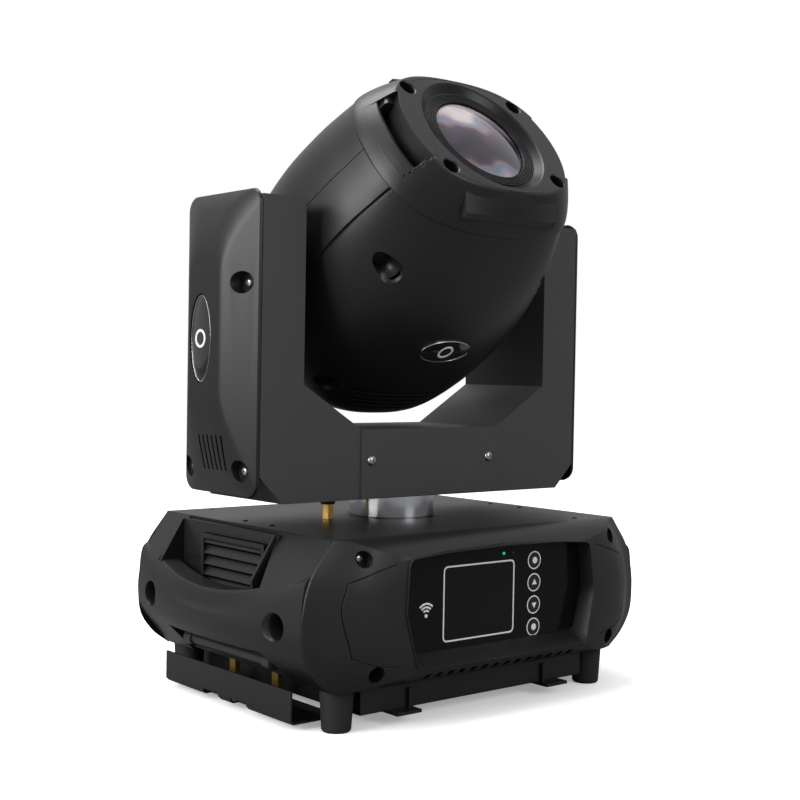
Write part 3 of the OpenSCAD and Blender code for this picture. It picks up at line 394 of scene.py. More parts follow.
def bezel(name, depth, vents):
    cover = loft(name, bezel_rings(depth))
    carve(cover, loft("hollow", bezel_rings(depth, 3.0)))
    for x, z in pockets:
        for s in (-1, 1):
            boss = peg("boss", (s * x, -PLATE_FRONT - 3, z), (0, -1, 0), 8.2, depth - 9)
            trim = loft("trim", bezel_rings(depth, 0.3)[1:])
            carve(boss, trim, keep="INTERSECT")
            carve(cover, boss, keep="UNION")
            carve(cover, peg("pocket", (s * x, -PLATE_FRONT - 7, z), (0, -1, 0), 6.1, 40))
    carve(cover, prism("opening", window, "y", -160, -110))
    if vents:
        carve(cover, bar_row("vents", 14, (-76.6, -143, 38.4), (11.79, 0, 0), (5.6, 26, 4.6)))
    # a shallow bracket-shaped step beside each end of the window
    for s in (-1, 1):
        path = curve_through([(108, 124.5), (126, 119.5), (146.5, 112.8)], 4)[:-1] + curve_through(
            [(146.5, 112.8), (152, 91), (145, 59.3)], 6)[:-1] + curve_through(
            [(145, 59.3), (128, 53), (109, 50)], 4)
        rings = []
        for i, (x, z) in enumerate(path):
            hit = touch(cover, (s * x, -300, z), (0, 1, 0))
            a, b = Vector(path[max(0, i - 1)]), Vector(path[min(len(path) - 1, i + 1)])
            side = Vector((-(b - a).y, (b - a).x)).normalized() * 0.8
            rings.append([(s * (x + side.x), hit.y - 4, z + side.y),
                          (s * (x - side.x), hit.y - 4, z - side.y),
                          (s * (x - side.x * 0.4), hit.y + 1.0, z - side.y * 0.4),
                          (s * (x + side.x * 0.4), hit.y + 1.0, z + side.y * 0.4)])
        carve(cover, loft("step", rings))
    # the window's thin lip and the sides that run back to the panel
    lip = []
    for i, (x, z) in enumerate(window):
        out = Vector((x, (z - 88) * 1.6)).normalized()
        y = -PLATE_FRONT - depth + (z - 46) * 0.044
        back = -PLATE_FRONT - depth + 15.7
        rise = max(0.0, 1 - (z - 45) / 14) * 8.5
        lip.append([(x + out.x * 1.1, y + 1.5, z + out.y * 1.1),
                    (x + out.x * 0.9, y - 0.7, z + out.y * 0.9),
                    (x, y - 0.9, z), (x - out.x * 0.5, y - 0.2, z - out.y * 0.5),
                    (x * 0.985, back, z + rise - out.y * 0.8),
                    (x * 0.985 + out.x * 2, back, z + rise + out.y * 2)])
    return cover, loft(name + "_window_lip", lip, around=True)


front, front_lip = bezel("front_bezel_cover", 27.0, True)
show(front, "base", moulded, ["front_bezel"])
show(front_lip, "base", moulded)
rear, rear_lip = bezel("rear_bezel_cover", 29.0, False)
for piece in (rear, rear_lip):
    piece.data.transform(Matrix.Rotation(math.pi, 4, "Z"))
show(rear, "base", moulded, ["rear_bezel"])
show(rear_lip, "base", moulded)

# ---------- side covers ----------
# Each side of the base is one moulding: a flat upper facet, a rounded handle bar that swells
# outwards, and a lower facet that is cut away in the middle to clear the carrying rod.
SIDE_HALF = 116.6


def smile(y):
    return 95 + 0.0018 * y * y


def side_ring(y):
    share = 1 - (y / SIDE_HALF) ** 2
    fold = smile(y)
    wide = BELLY + 11.3 * share
    bar = curve_through([(150.8 + 0.73 * (DECK - fold), fold), (wide - 2.5, fold - 9 - 2 * share),
                         (wide, 77), (wide - 2.2, 65), (wide - 7, 57)], 6)
    outer = [(150.8, DECK)] + bar + [(149.5, SKIRT)]
    inner = [(147, SKIRT + 2), (wide - 19, 58), (wide - 19, fold - 8), (148, DECK - 4)]
    return [(x, y, z) for x, z in outer + inner]


def side_cover(s, name, node):
    count = 48
    cover = loft(name, [side_ring(SIDE_HALF * (1 - 2 * i / count)) for i in range(count + 1)])
    arch = [(y, smile(y) + 1.5) for y in range(-66, 86, 4)]
    hand = [(-50, 150), (-51, 139)] + arch + [(86, 106), (79, 139), (79, 150)]
    carve(cover, prism("hand", hand, "x", 150.95, 230))
    carve(cover, prism("rod_slot", [(-73, 20), (-66, 56.5), (66, 56.5), (73, 20)], "x", 140, 230))
    for y in (-90, 90):
        hit = touch(cover, (300, y, 79), (-1, 0, 0))
        reach = hit.x - 160
        carve(cover, peg("pocket", (160, y, 79), (1, 0, 0), 9.4, reach - 3, 48,
                         more=[(10.4, reach - 1), (13, reach + 1.5), (13, reach + 20)]))
    carve(cover, prism("trim", [(-200, 0), (150.3, 0), (150.3, 142.4), (149, 142.4), (149, 150),
                                (-200, 150)], "y", -SIDE_HALF + 3, SIDE_HALF - 3))
    if s < 0:
        cover.data.transform(Matrix.Scale(-1, 4, (1, 0, 0)))
        cover.data.flip_normals()
    show(cover, "base", moulded, [node])
    # the wall behind the hand opening, with its window, and the two gussets
    wall = prism(name + "_wall", [(-57, 60), (-57, 140.8), (84, 140.8), (84, 60)], "x", 154, 156.5)
    window_in_wall = [(-44, 88), (-44, 132.5), (47, 132.5), (47, 88)]
    notch = [(47, 88), (47, 108), (53, 108), (53, 112), (75, 112), (75, 50), (47, 50)]
    gusset = [(155, 140.8), (157.5, 140.8), (178, 108), (176, 92), (155, 84)]
    carve(wall, prism("grille_window", window_in_wall, "x", 150, 160))
    carve(wall, prism("notch", notch, "x", 155.5, 160))
    for low, high in ((-54, -51.6), (79, 81.4)):
        carve(wall, prism("gusset", gusset, "y", low, high), keep="UNION")
    if s < 0:
        wall.data.transform(Matrix.Scale(-1, 4, (1, 0, 0)))
        wall.data.flip_normals()
    show(wall, "base", moulded)


side_cover(1, "right_cover", "right_side_cover")
side_cover(-1, "left_cover", "left_side_cover")

# ---------- louvre grilles ----------
# A framed set of five slanted blades in each wall lets air into the base.
for s, side in ((1, "right"), (-1, "left")):
    blades = bar_row(side + "_blades", 5, (s * 157.6, 1.5, 93.5), (0, 0, 8.6), (1.5, 88, 7.4),
                     tilt=(0, math.radians(s * -32), 0), finish=moulded)
    show(blades, "base", moulded)
    rim = prism(side + "_grille_frame", [(-43.4, 87.5), (-43.4, 132), (46.4, 132), (46.4, 87.5)],
                "x", *sorted((s * 154.5, s * 160.5)))
    carve(rim, prism("inner", [(-39.6, 91), (-39.6, 128.4), (42.6, 128.4), (42.6, 91)], "x",
                     *sorted((s * 150, s * 170))))
    show(rim, "base", moulded, ["louvre_grilles"] if s > 0 else ())

# ---------- control panel ----------
# A smoked acrylic sheet over the board. Its outline of the display, the rings round the buttons
# and the wireless mark are printed in white from the front.
acrylic = finish_of("smoked_acrylic", (0.0035, 0.0037, 0.0045), 0.14, patch=5, spread=0.1,
                    shine=0.12)
print_ink = finish_of("white_print", (0.72, 0.73, 0.74), 0.5, grain=2500, depth=0.01, spread=0.04)
dress(acrylic, "control_panel")
FACE = -128.0


def printed(name, outline, y=FACE, hole=None, body="base", high=0.12):
    mark = prism(name, outline, "y", y - high, y + 0.05)
    if hole:
        carve(mark, prism("inside", hole, "y", y - 5, y + 5))
    return show(mark, body, print_ink)


def disc(x, z, r, count=40, start=0.0, end=2 * math.pi):
    return [(x + r * math.cos(a), z + r * math.sin(a))
            for a in (start + (end - start) * i / count for i in range(count + (end - start < 6)))]


def grown(x0, x1, z0, z1, by, radius):
    return rounded([(x0 - by, z0 - by), (x1 + by, z0 - by), (x1 + by, z1 + by), (x0 - by, z1 + by)],
                   radius + by)


DISPLAY = (-52.2, 21.9, 59.9, 116.8)
printed("display_outline", grown(*DISPLAY, 0.75, 4), hole=grown(*DISPLAY, -0.55, 4))
glass = finish_of("display_glass", (0.0045, 0.0048, 0.006), 0.08, patch=3, spread=0.12, shine=0.14)
show(prism("display_window", grown(*DISPLAY, -0.6, 4), "y", FACE - 0.05, FACE + 0.05), "base",
     glass)
dress(glass, "display_module")

# the wireless mark: a dot under three arcs
up, spread_angle = math.pi / 2, math.radians(46)
for i, r in enumerate((3.6, 6.2, 8.8)):
    arc = disc(-70, 82, r + 0.75, 16, up - spread_angle, up + spread_angle) + disc(
        -70, 82, r - 0.75, 16, up + spread_angle, up - spread_angle)
    printed("wireless_arc_%d" % i, arc)
printed("wireless_dot", disc(-70, 81.6, 1.5, 20))

# ---------- push buttons ----------
# Four moulded caps, each in a printed ring, with a dot or an arrow on its face.
cap_black = finish_of("button_cap", (0.008, 0.0082, 0.009), 0.35, grain=1800, depth=0.015)
dress(cap_black, "menu_button", "up_button", "down_button", "enter_button", "power_switch")
KEYS_X = 45
for label, z, points in (("menu", 115, 0), ("up", 97, 1), ("down", 79, -1), ("enter", 61, 0)):
    printed(label + "_ring", disc(KEYS_X, z, 7.4, 56), hole=disc(KEYS_X, z, 6.35, 56))
    mark = disc(KEYS_X, z, 2.7, 32)
    if points:
        mark = [(KEYS_X - 2.7, z - 1.6 * points), (KEYS_X + 2.7, z - 1.6 * points),
                (KEYS_X, z + 2.9 * points)]
    printed(label + "_mark", mark, y=FACE - 0.6, body=label + "_button")

# ---------- indicator lamps ----------
# Two 3 mm lamps on the board behind the panel show their tips through it; one glows green.
lit = finish_of("green_lamp", (0.02, 0.5, 0.12), 0.3)
lamp_shader = lit.node_tree.nodes["Principled BSDF"]
lamp_shader.inputs["Emission Color"].default_value = (0.03, 0.8, 0.3, 1)
lamp_shader.inputs["Emission Strength"].default_value = 0.5
unlit = finish_of("dark_lamp", (0.006, 0.006, 0.008), 0.2, coat=0.5)
for name, x, finish in (("power_lamp", 10.5, lit), ("signal_lamp", 20.5, unlit)):
    show(peg(name, (x, FACE + 0.2, 123), (0, -1, 0), 1.3, 0.8, tip=1.0), "base", finish)
board = finish_of("circuit_board", (0.01, 0.07, 0.03), 0.4, grain=300, depth=0.1, spread=0.4)
dress(board, "control_board")

# ---------- screws ----------
# Cross-head machine screws, bright in the bridge plates and in the pockets of the bezels and
# the arm covers, and black in the top plate and the head.
zinc = finish_of("zinc_screw", (0.42, 0.41, 0.38), 0.3, grain=1200, depth=0.01, metal=1.0)
black_oxide = finish_of("black_screw", (0.03, 0.03, 0.032), 0.35, metal=0.8, grain=1200, depth=0.01)


def turned(name, profile, place, count=72):
    """A closed ring turned about +Z from (radius, height) points."""
    rings = [[(r * math.cos(a), r * math.sin(a), h) for r, h in profile]
             for a in (2 * math.pi * i / count for i in range(count))]
    return loft(name, rings, place, around=True)


def screw_head(name, radius, finish):
    """One pan head with a cross recess; it is only the pattern that the sets are copied from."""
    profile = [(0.001, radius * 0.62), (radius * 0.45, radius * 0.58),
               (radius * 0.8, radius * 0.42), (radius, radius * 0.15), (radius, 0), (0.001, 0)]
    head = turned(name, profile, None, 24)
    reach, half_width = radius * 0.62, radius * 0.13
    for turn_by in (0, math.pi / 2):
        blade = prism("blade", [(-reach, -half_width), (reach, -half_width), (reach, half_width),
                                (-reach, half_width)], "z", radius * 0.2, radius)
        blade.data.transform(Matrix.Rotation(turn_by, 4, "Z"))
        carve(head, blade)
    head.data.materials.clear()
    head.data.materials.append(finish)
    return head


def screw_set(name, spots, way, radius, finish, body, nodes=()):
    """Geometry Nodes: copies of one screw head at the spots, all facing way, as one mesh."""
    pattern = screw_head("pattern", radius, finish)
    tree = bpy.data.node_groups.new(name, "GeometryNodeTree")
    tree.interface.new_socket("Geometry", in_out="INPUT", socket_type="NodeSocketGeometry")
    tree.interface.new_socket("Geometry", in_out="OUTPUT", socket_type="NodeSocketGeometry")
    kinds = {"Screw": "NodeSocketObject", "Facing": "NodeSocketVector",
             "Finish": "NodeSocketMaterial"}
    sockets = {label: tree.interface.new_socket(label, in_out="INPUT", socket_type=kind)
               for label, kind in kinds.items()}
    nodes_, links = tree.nodes, tree.links
    given, made = nodes_.new("NodeGroupInput"), nodes_.new("NodeGroupOutput")
    info, spread = nodes_.new("GeometryNodeObjectInfo"), nodes_.new("GeometryNodeInstanceOnPoints")
    aim = nodes_.new("FunctionNodeAlignRotationToVector")
    real, paint = nodes_.new("GeometryNodeRealizeInstances"), nodes_.new("GeometryNodeSetMaterial")
    aim.axis = "Z"
    links.new(given.outputs["Screw"], info.inputs["Object"])
    links.new(given.outputs["Facing"], aim.inputs["Vector"])
    links.new(given.outputs["Geometry"], spread.inputs["Points"])
    links.new(info.outputs["Geometry"], spread.inputs["Instance"])
    links.new(aim.outputs["Rotation"], spread.inputs["Rotation"])
    links.new(spread.outputs["Instances"], real.inputs["Geometry"])
    links.new(real.outputs["Geometry"], paint.inputs["Geometry"])
    links.new(given.outputs["Finish"], paint.inputs["Material"])
    links.new(paint.outputs["Geometry"], made.inputs["Geometry"])
    mesh = bpy.data.meshes.new(name)
    mesh.from_pydata([Vector(p) * 0.001 for p in spots], [], [])
    screws = bpy.data.objects.new(name, mesh)
    bpy.context.scene.collection.objects.link(screws)
    grow = screws.modifiers.new("screws", "NODES")
    grow.node_group = tree
    grow[sockets["Screw"].identifier] = pattern
    grow[sockets["Facing"].identifier] = list(way)
    grow[sockets["Finish"].identifier] = finish
    settle(screws)
    bpy.data.objects.remove(pattern)
    return show(screws, body, finish, nodes, crease=40)


plate_spots = [(s * x, y, DECK - 0.9) for s in (-1, 1)
               for x, y in ((136, 19), (136, -19), (113, 108.4), (113, -108.4))]
screw_set("top_plate_screws", plate_spots, (0, 0, 1), 2.9, black_oxide, "base", ["base_screws"])
screw_set("front_bezel_screws", [(s * x, -124, z) for s in (-1, 1) for x, z in pockets], (0, -1, 0),
          3.4, zinc, "base")
screw_set("rear_bezel_screws", [(s * x, 124, z) for s in (-1, 1) for x, z in pockets], (0, 1, 0),
          3.4, zinc, "base")
bridge_spots = [(s * 64, 193.8) for s in (-1, 1)]
screw_set("bridge_screws_front", [(x, -51.9, z) for x, z in bridge_spots], (0, -1, 0), 4.2, zinc,
          "yoke", ["yoke_screws"])
screw_set("bridge_screws_rear", [(x, 51.9, z) for x, z in bridge_spots], (0, 1, 0), 4.2, zinc,
          "yoke")

# ---------- rear sockets ----------
# Round locking mains sockets in blue, and metal data sockets, each with three contacts.
blue_socket = finish_of("blue_socket", (0.02, 0.11, 0.42), 0.35, grain=1600, depth=0.02)
socket_metal = finish_of("socket_metal", (0.25, 0.25, 0.26), 0.35, grain=900, depth=0.02, metal=0.9)
dress(blue_socket, "power_sockets")
dress(socket_metal, "dmx_sockets")
contact = finish_of("contact", (0.65, 0.55, 0.3), 0.25, metal=1.0)
for name, spots, reach in (("mains", [(-76, 88), (-46, 88)], 12), ("data", [
        (x, z) for x in (-14, 20) for z in (106, 70)], 9)):
    for i, (x, z) in enumerate(spots):
        for j, a in enumerate((90, 210, 330)):
            dx, dz = 4.4 * math.cos(math.radians(a)), 4.4 * math.sin(math.radians(a))
            pin = peg("%s_contact_%d_%d" % (name, i, j), (x + dx, 133.5 - reach - 4, z + dz),
                      (0, 1, 0), 1.1, reach, 16)
            show(pin, "base", contact)

# ---------- feet, rods and posts ----------
# Rubber feet, painted carrying rods with ball ends, and turned brass hex posts.
rubber = finish_of("rubber", (0.013, 0.013, 0.0135), 0.7, grain=1200, depth=0.06)
dress(rubber, "rubber_feet")
dress(finish_of("belt_rubber", (0.01, 0.01, 0.01), 0.8, grain=900, depth=0.1), "pan_belt",
      "tilt_belt")
brass = finish_of("turned_brass", (0.62, 0.40, 0.12), 0.3, grain=700, depth=0.015, metal=1.0)
dress(brass, "brass_posts", "pan_motor_pulley", "tilt_motor_pulley")
dress(finish_of("soft_black_cap", (0.01, 0.01, 0.01), 0.5, grain=1400, depth=0.03), "pan_stop_cap")
rod_paint = finish_of("rod_paint", (0.02, 0.021, 0.023), 0.36, grain=700, depth=0.04)
dress(rod_paint, "carry_rods")

# ---------- pan collar ----------
# The spindle is turned from aluminium; fine turning rings run round it under the yoke.
turned_aluminium = finish_of("turned_aluminium", (0.62, 0.63, 0.65), 0.16, metal=1.0, edge=0.8,
                             spread=0.05)
tree = turned_aluminium.node_tree
where = next(n for n in tree.nodes if n.bl_idname == "ShaderNodeTexCoord")
stretch = tree.nodes.new("ShaderNodeMapping")
stretch.inputs["Scale"].default_value = (2, 2, 900)
rings_of_turning = tree.nodes.new("ShaderNodeTexNoise")
rings_of_turning.inputs["Scale"].default_value = 4
ripple = tree.nodes.new("ShaderNodeBump")
ripple.inputs["Strength"].default_value = 0.12
ripple.inputs["Distance"].default_value = 0.00004
tree.links.new(where.outputs["Object"], stretch.inputs["Vector"])
tree.links.new(stretch.outputs["Vector"], rings_of_turning.inputs["Vector"])
tree.links.new(rings_of_turning.outputs["Fac"], ripple.inputs["Height"])
tree.links.new(ripple.outputs["Normal"], tree.nodes["Principled BSDF"].inputs["Normal"])
dress(turned_aluminium, "pan_spindle")
seat = turned("collar_seat", [(36.4, 142.6), (41.4, 142.6), (41.4, 143.15), (40.9, 143.3),
                              (38.5, 143.3), (38.2, 142.9), (36.4, 142.9)], None, 96)
show(seat, "base", powder_coat)

# ---------- arm covers ----------
# A moulded cover on the outer side of each arm: flat outside, bevelled at the front and back,
# domed on top, with cooling slots low down and screws in round pockets in the bevels.


def cover_ring(x, half, z0, z1, r, steps=10):
    corners = [(1, 1, 0), (-1, 1, 90), (-1, -1, 180), (1, -1, 270)]
    out = []
    for cy, cz, start in corners:
        for i in range(steps + 1):
            a = math.radians(start + 90 * i / steps)
            middle = z1 - r if cz > 0 else z0 + r
            out.append((x, cy * (half - r) + r * math.cos(a), middle + r * math.sin(a)))
    return out


# distance out, half depth, lowest and highest point, corner radius
COVER_STEPS = [(170.5, 50.5, 168, 401.3, 12), (173, 50.2, 168.6, 400.6, 12),
               (177, 43.5, 176, 396, 18), (181.5, 35.6, 190, 387, 20), (186, 28.2, 209, 373, 20),
               (188, 25.0, 221, 364, 19), (189.1, 22.4, 231, 356, 18), (189.5, 20, 238, 351, 16)]
COVER_WALL = 2.8
BADGE_Y, BADGE_Z = 5, 288


def arm_cover(s, name, node):
    cover = loft(name, [cover_ring(*step) for step in COVER_STEPS])
    t = COVER_WALL
    hollow = loft("hollow", [cover_ring(x - t, half - t, z0 + t, z1 - t, r - t)
                             for x, half, z0, z1, r in COVER_STEPS])
    screw_spots = [(-38, 330), (38, 330), (-36, 188), (36, 188)]
    for y, z in screw_spots:
        carve(hollow, peg("boss", (160, y, z), (1, 0, 0), 10.6, 40))
    carve(cover, hollow)
    for y, z in screw_spots:
        carve(cover, peg("pocket", (173.2, y, z), (1, 0, 0), 8.4, 30))
    carve(cover, bar_row("cooling", 6, (182, -21, 201), (0, 6.0, 0), (30, 2.0, 27)))
    angles = [2 * math.pi * i / 72 for i in range(72)]
    carve(cover, loft("badge_seat", [
        [(x, BADGE_Y + 15 * math.cos(a), BADGE_Z + 34.4 * math.sin(a)) for a in angles]
        for x in (187.3, 200)]))
    if s < 0:
        cover.data.transform(Matrix.Scale(-1, 4, (1, 0, 0)))
        cover.data.flip_normals()
    show(cover, "yoke", moulded, [node], crease=24)
    screw_set(name + "_screws", [(s * 173.2, y, z) for y, z in screw_spots], (s, 0, 0), 3.6, zinc,
              "yoke")


arm_cover(1, "right_cover_moulding", "right_arm_cover")
arm_cover(-1, "left_cover_moulding", "left_arm_cover")

# ---------- emblems ----------
# Blank oval badges of black enamel in a bright rim, with a plain ring in the middle.
enamel = finish_of("black_enamel", (0.006, 0.006, 0.007), 0.08, coat=1.0, patch=20, spread=0.1)
bright_rim = finish_of("bright_rim", (0.55, 0.56, 0.58), 0.18, metal=1.0, patch=30, spread=0.08)


def badge(name, place, half_y, half_x, body):
    """An oval badge that lies in its own XY plane and is put in its place by a matrix."""
    def oval(by, h):
        return [((half_x - by) * math.cos(a), (half_y - by) * math.sin(a), h)
                for a in (2 * math.pi * i / 72 for i in range(72))]
    rim = loft(name + "_rim", [oval(0, -1.5), oval(0, 0.5), oval(0.3, 0.9), oval(0.8, 0.8),
                               oval(0.9, -1.5)], place, around=True)
    show(rim, body, bright_rim)
    field = loft(name + "_field", [oval(0.85, -1.4), oval(0.85, 0.3), oval(4, 0.75), oval(8, 1.0),
                                   oval(12, 1.1)], place)
    show(field, body, enamel)
    mark = turned(name + "_mark", [(5.2, 0.8), (7.2, 0.8), (7.2, 1.35), (6.9, 1.5), (5.5, 1.5),
                                   (5.2, 1.35)], place, 60)
    show(mark, body, print_ink)


for s in (-1, 1):
    badge("arm_badge_left" if s < 0 else "arm_badge_right",
          Matrix.Translation((s * 0.1879, BADGE_Y * 0.001, BADGE_Z * 0.001))
          @ Matrix.Rotation(s * math.pi / 2, 4, "Y"), 14, 33.5, "yoke")

# ---------- head shells ----------
# Two moulded shells that meet at a seam along the sides. They swell towards the middle and
# close round at the rear. They are shaped upright and then turned into place with the head.
TURN = Matrix.Translation((0, 0, 0.36854765)) @ Matrix.Rotation(math.radians(51.5), 4, "X")
# distance along the axis, half width, and the height over and under the axis
HEAD_STEPS = [(-128, 38, 30, 47), (-127, 50, 42, 60), (-117, 76, 64, 82), (-98, 96, 80, 99),
              (-60, 112, 88, 107), (-20, 119, 91, 109), (20, 119, 91, 107), (60, 113, 87, 99),
              (90, 105, 82, 88), (104.6, 101, 78, 81)]
SWELL = curve_through([(level, rx, ru) for level, rx, ru, _ in HEAD_STEPS], 5)
UNDER = curve_through([(level, rx, rd) for level, rx, _, rd in HEAD_STEPS], 5)


def oval_ring(rx, ru, rd, level, power, count=96, wall=0.0):
    """A rounded ring across the head: rx sideways, ru over and rd under the middle."""
    out = []
    for i in range(count):
        a = 2 * math.pi * (i + 0.5) / count
        c, s = math.cos(a), math.sin(a)
        x = math.copysign(abs(c) ** power, c) * (rx - wall)
        v = math.copysign(abs(s) ** power, s) * ((ru if s > 0 else rd) - wall)
        out.append((x, v, level))
    return out


def head_skin(name, wall=0.0):
    rings = []
    for (level, rx, ru), (_, _, rd) in zip(SWELL, UNDER):
        rings.append(oval_ring(rx, ru, rd, level if not wall or level > -124 else level + wall, 0.8,
                               wall=wall))
    if wall:
        rings = [r for r in rings if r[0][2] > -125.5 + wall]
        rings.append([(x, v, 112) for x, v, _ in rings[-1]])
    return loft(name, rings)


def head_shell(name, side, node):
    """side is +1 for the shell over the seam and -1 for the one under it."""
    shell = head_skin(name)
    carve(shell, head_skin("hollow", 2.6))
    reach = [(-140, 0.3 * side), (140, 0.3 * side), (140, 150 * side), (-140, 150 * side)]
    half = prism("half", reach, "z", -150, 120)
    carve(shell, half, keep="INTERSECT")
    for s in (-1, 1):
        carve(shell, peg("bearing_gap", (s * 95, 0, 0), (s, 0, 0), 15, 40, 64))
    # a shallow groove runs forward along each flank to the cap
    if side < 0:
        for s in (-1, 1):
            rings = []
            for level in range(24, 113, 8):
                hit = touch(shell, (s * 200, -40, min(level, 104)), (-s, 0, 0))
                deep = min(1.6, (level - 20) * 0.12)
                rings.append([(hit.x + s * 4, -42.2, level), (hit.x + s * 4, -37.8, level),
                              (hit.x - s * deep, -38.8, level), (hit.x - s * deep, -41.2, level)])
            carve(shell, loft("groove", rings))
        for x, level in ((86, 58), (72, -71)):
            for s in (-1, 1):
                hit = touch(shell, (s * x, -200, level), (0, 1, 0))
                boss = peg("boss", hit + Vector((0, -8, 0)), (0, 1, 0), 11.5, 22, 48)
                carve(boss, head_skin("trim", 0.15), keep="INTERSECT")
                carve(shell, boss, keep="UNION")
                carve(shell, peg("socket", hit + Vector((0, 9.5, 0)), (0, -1, 0), 8.2, 8, 48,
                                 more=[(9.6, 11), (12.5, 16), (12.5, 30)]))
        slots = []
        for i in range(5):
            level = -62 - 6.5 * i
            wide = 51 - 3.4 * i
            arc = [(x, level - 4 * (x / 51) ** 2) for x in (wide * (j / 8 - 1) for j in range(17))]
            slots.append(loft("slot", [
                [(x, -150, mid - 1.4), (x, -150, mid + 1.4),
                 (x, -60, mid + 1.4), (x, -60, mid - 1.4)] for x, mid in arc]))
        carve(shell, *slots)
    shell.data.transform(TURN)
    show(shell, "head", moulded, [node], crease=28)


head_shell("upper_shell_moulding", 1, "upper_head_shell")
head_shell("lower_shell_moulding", -1, "lower_head_shell")
screw_spots = [TURN @ (Vector((s * x, v, level)) * 0.001) * 1000
               for s in (-1, 1) for x, v, level in ((86, -64, 58), (72, -77, -71))]
screw_set("shell_screws", screw_spots, TURN.to_3x3() @ Vector((0, -1, 0)), 3.6, black_oxide, "head")
badge("head_badge", TURN @ Matrix.Translation((0, -0.1082, -0.0025)) @ Matrix.Rotation(
    math.pi / 2, 4, "X"), 13.5, 26, "head")

# ---------- front cap ----------
# The cap closes the head round the lens. Its sides step down beside the lens to a low wing with
# a moat behind it, its corners carry screws in round pockets, and a pad stands over and under.
STEP_LOW, STEP_HIGH, STEP_R = -37, 34, 79


def cap_size(level):
    t = max(0.0, (level - 105) / 32) ** 1.25
    return 119 * (0.846 - 0.166 * t), 91.5 * (0.852 - 0.169 * t), 109 * (0.743 - 0.175 * t)


def cap_x(v, level):
    rx, ru, rd = cap_size(level)
    return rx * max(0.0, 1 - (abs(v) / (ru if v > 0 else rd)) ** (2 / 0.75)) ** (0.75 / 2)


def cap_ring(level, inset=0.0, stepped=False):
    """A ring of the cap; a stepped one is cut in beside the lens, down to a round wall."""
    ring = oval_ring(*(r - inset for r in cap_size(level)), level, 0.75, 240)
    if not stepped:
        return ring
    out = list(ring)
    for i, (x, v, h) in enumerate(ring):
        if STEP_LOW < v < STEP_HIGH and math.hypot(x, v) > STEP_R:
            out[i] = (x * STEP_R / math.hypot(x, v), v * STEP_R / math.hypot(x, v), h)
    for i in range(240):
        (xa, va, _), (_, vb, _) = ring[i], ring[(i + 1) % 240]
        for edge in (STEP_LOW, STEP_HIGH):
            if (va - edge) * (vb - edge) < 0:
                side = math.copysign(1, xa)
                near = side * math.sqrt(STEP_R ** 2 - edge ** 2)
                far = side * (cap_x(edge, level) - inset)
                inner_first = STEP_LOW < va < STEP_HIGH
                out[i] = (near if inner_first else far, edge, level)
                out[(i + 1) % 240] = (far if inner_first else near, edge, level)
    return out


CAP_POCKETS = [(s * x, v) for s in (-1, 1) for x, v in ((57.5, 42.4), (57.5, -42.4))]
cap = loft("cap_moulding", [cap_ring(level) for level in (105, 107.5, 110, 113, 116)]
           + [cap_ring(level, 0, True) for level in (116, 120, 124, 128, 132, 134.5, 136)]
           + [cap_ring(136.8, 0.6, True), cap_ring(137, 1.6, True)])
carve(cap, loft("hollow", [cap_ring(level, 3.4) for level in (102, 105, 109, 112)]))
carve(cap, peg("opening", (0, 0, 90), (0, 0, 1), 55.3, 44, 128, more=[(59, 48), (59, 60)]))
for x, v in CAP_POCKETS:
    carve(cap, peg("pocket", (x, v, 129), (0, 0, 1), 6.8, 7.2, 48, more=[(8.2, 8.3), (8.2, 20)]))
cap.data.transform(TURN)
show(cap, "head", moulded, ["front_cap"], crease=26)
cap_screws = [TURN @ (Vector((x, v, 129.2)) * 0.001) * 1000 for x, v in CAP_POCKETS]
screw_set("cap_screws", cap_screws, TURN.to_3x3() @ Vector((0, 0, 1)), 3.6, black_oxide, "head",
          ["head_screws"])

# the low wings beside the lens, and the blocks at their upper ends
for s, side in ((1, "right"), (-1, "left")):
    rings = []
    for i in range(15):
        v = -38 + 72.5 * i / 14
        low, mid, top = cap_x(v, 114), cap_x(v, 119), cap_x(v, 124)
        rings.append([(s * x, v, level) for x, level in
                      ((low, 114), (mid, 119), (top, 123.4), (top - 0.6, 124), (top - 3, 124),
                       (top - 5.5, 114))])
    wing = loft(side + "_cap_wing", rings, TURN)
    show(wing, "head", moulded, crease=24)
    block = loft(side + "_cap_block", [
        [(s * x, v, level) for x, v in ((70, 27), (87 - t, 27), (80 - t, 41), (66, 41))]
        for level, t in ((114, 0), (129, 4), (130.5, 6))], TURN)
    show(block, "head", moulded, crease=24)

# raised pads over and under the lens: a lip along the face's edge, then a slope to the shell
for side, name in ((1, "upper"), (-1, "lower")):
    drop = 71 if side > 0 else 75
    rings = []
    for i in range(17):
        across = i / 8 - 1
        b = 9 * across ** 2
        outline = [(61.0 - b, 130), (60.8 - b, 137.1), (61.5 - b, 137.1), (64.6 - b, 134.2),
                   (drop, 121), (drop + 1.6, 116.4), (drop - 6, 113)]
        rings.append([(48 * across, side * v, level) for v, level in outline])
    pad = loft(name + "_cap_pad", rings)
    pad.data.transform(TURN)
    show(pad, "head", moulded, crease=20)

# ---------- lens ----------
# A black retaining ring with a wide bevel and fine steps holds the front lens, whose dark purple
# coating carries painted reflections.
ring_black = finish_of("ring_black", (0.0035, 0.0035, 0.004), 0.3, shine=0.2)
steps = [(58.9, 121), (58.9, 135.0), (58.3, 135.8), (56.8, 135.8), (51.6, 131.9), (50.4, 131.7)]
for i in range(6):
    steps += [(r - 1.5 * i, level) for r, level in ((50, 132.6), (49.2, 132.6), (49.0, 131.8),
                                                    (48.6, 131.8))]
steps += [(41.0, 130), (40.5, 127), (40.5, 114), (46, 112.5), (54, 118)]
ring = turned("lens_ring_turning", steps, TURN, 128)
show(ring, "head", ring_black, ["lens_ring"], crease=24)
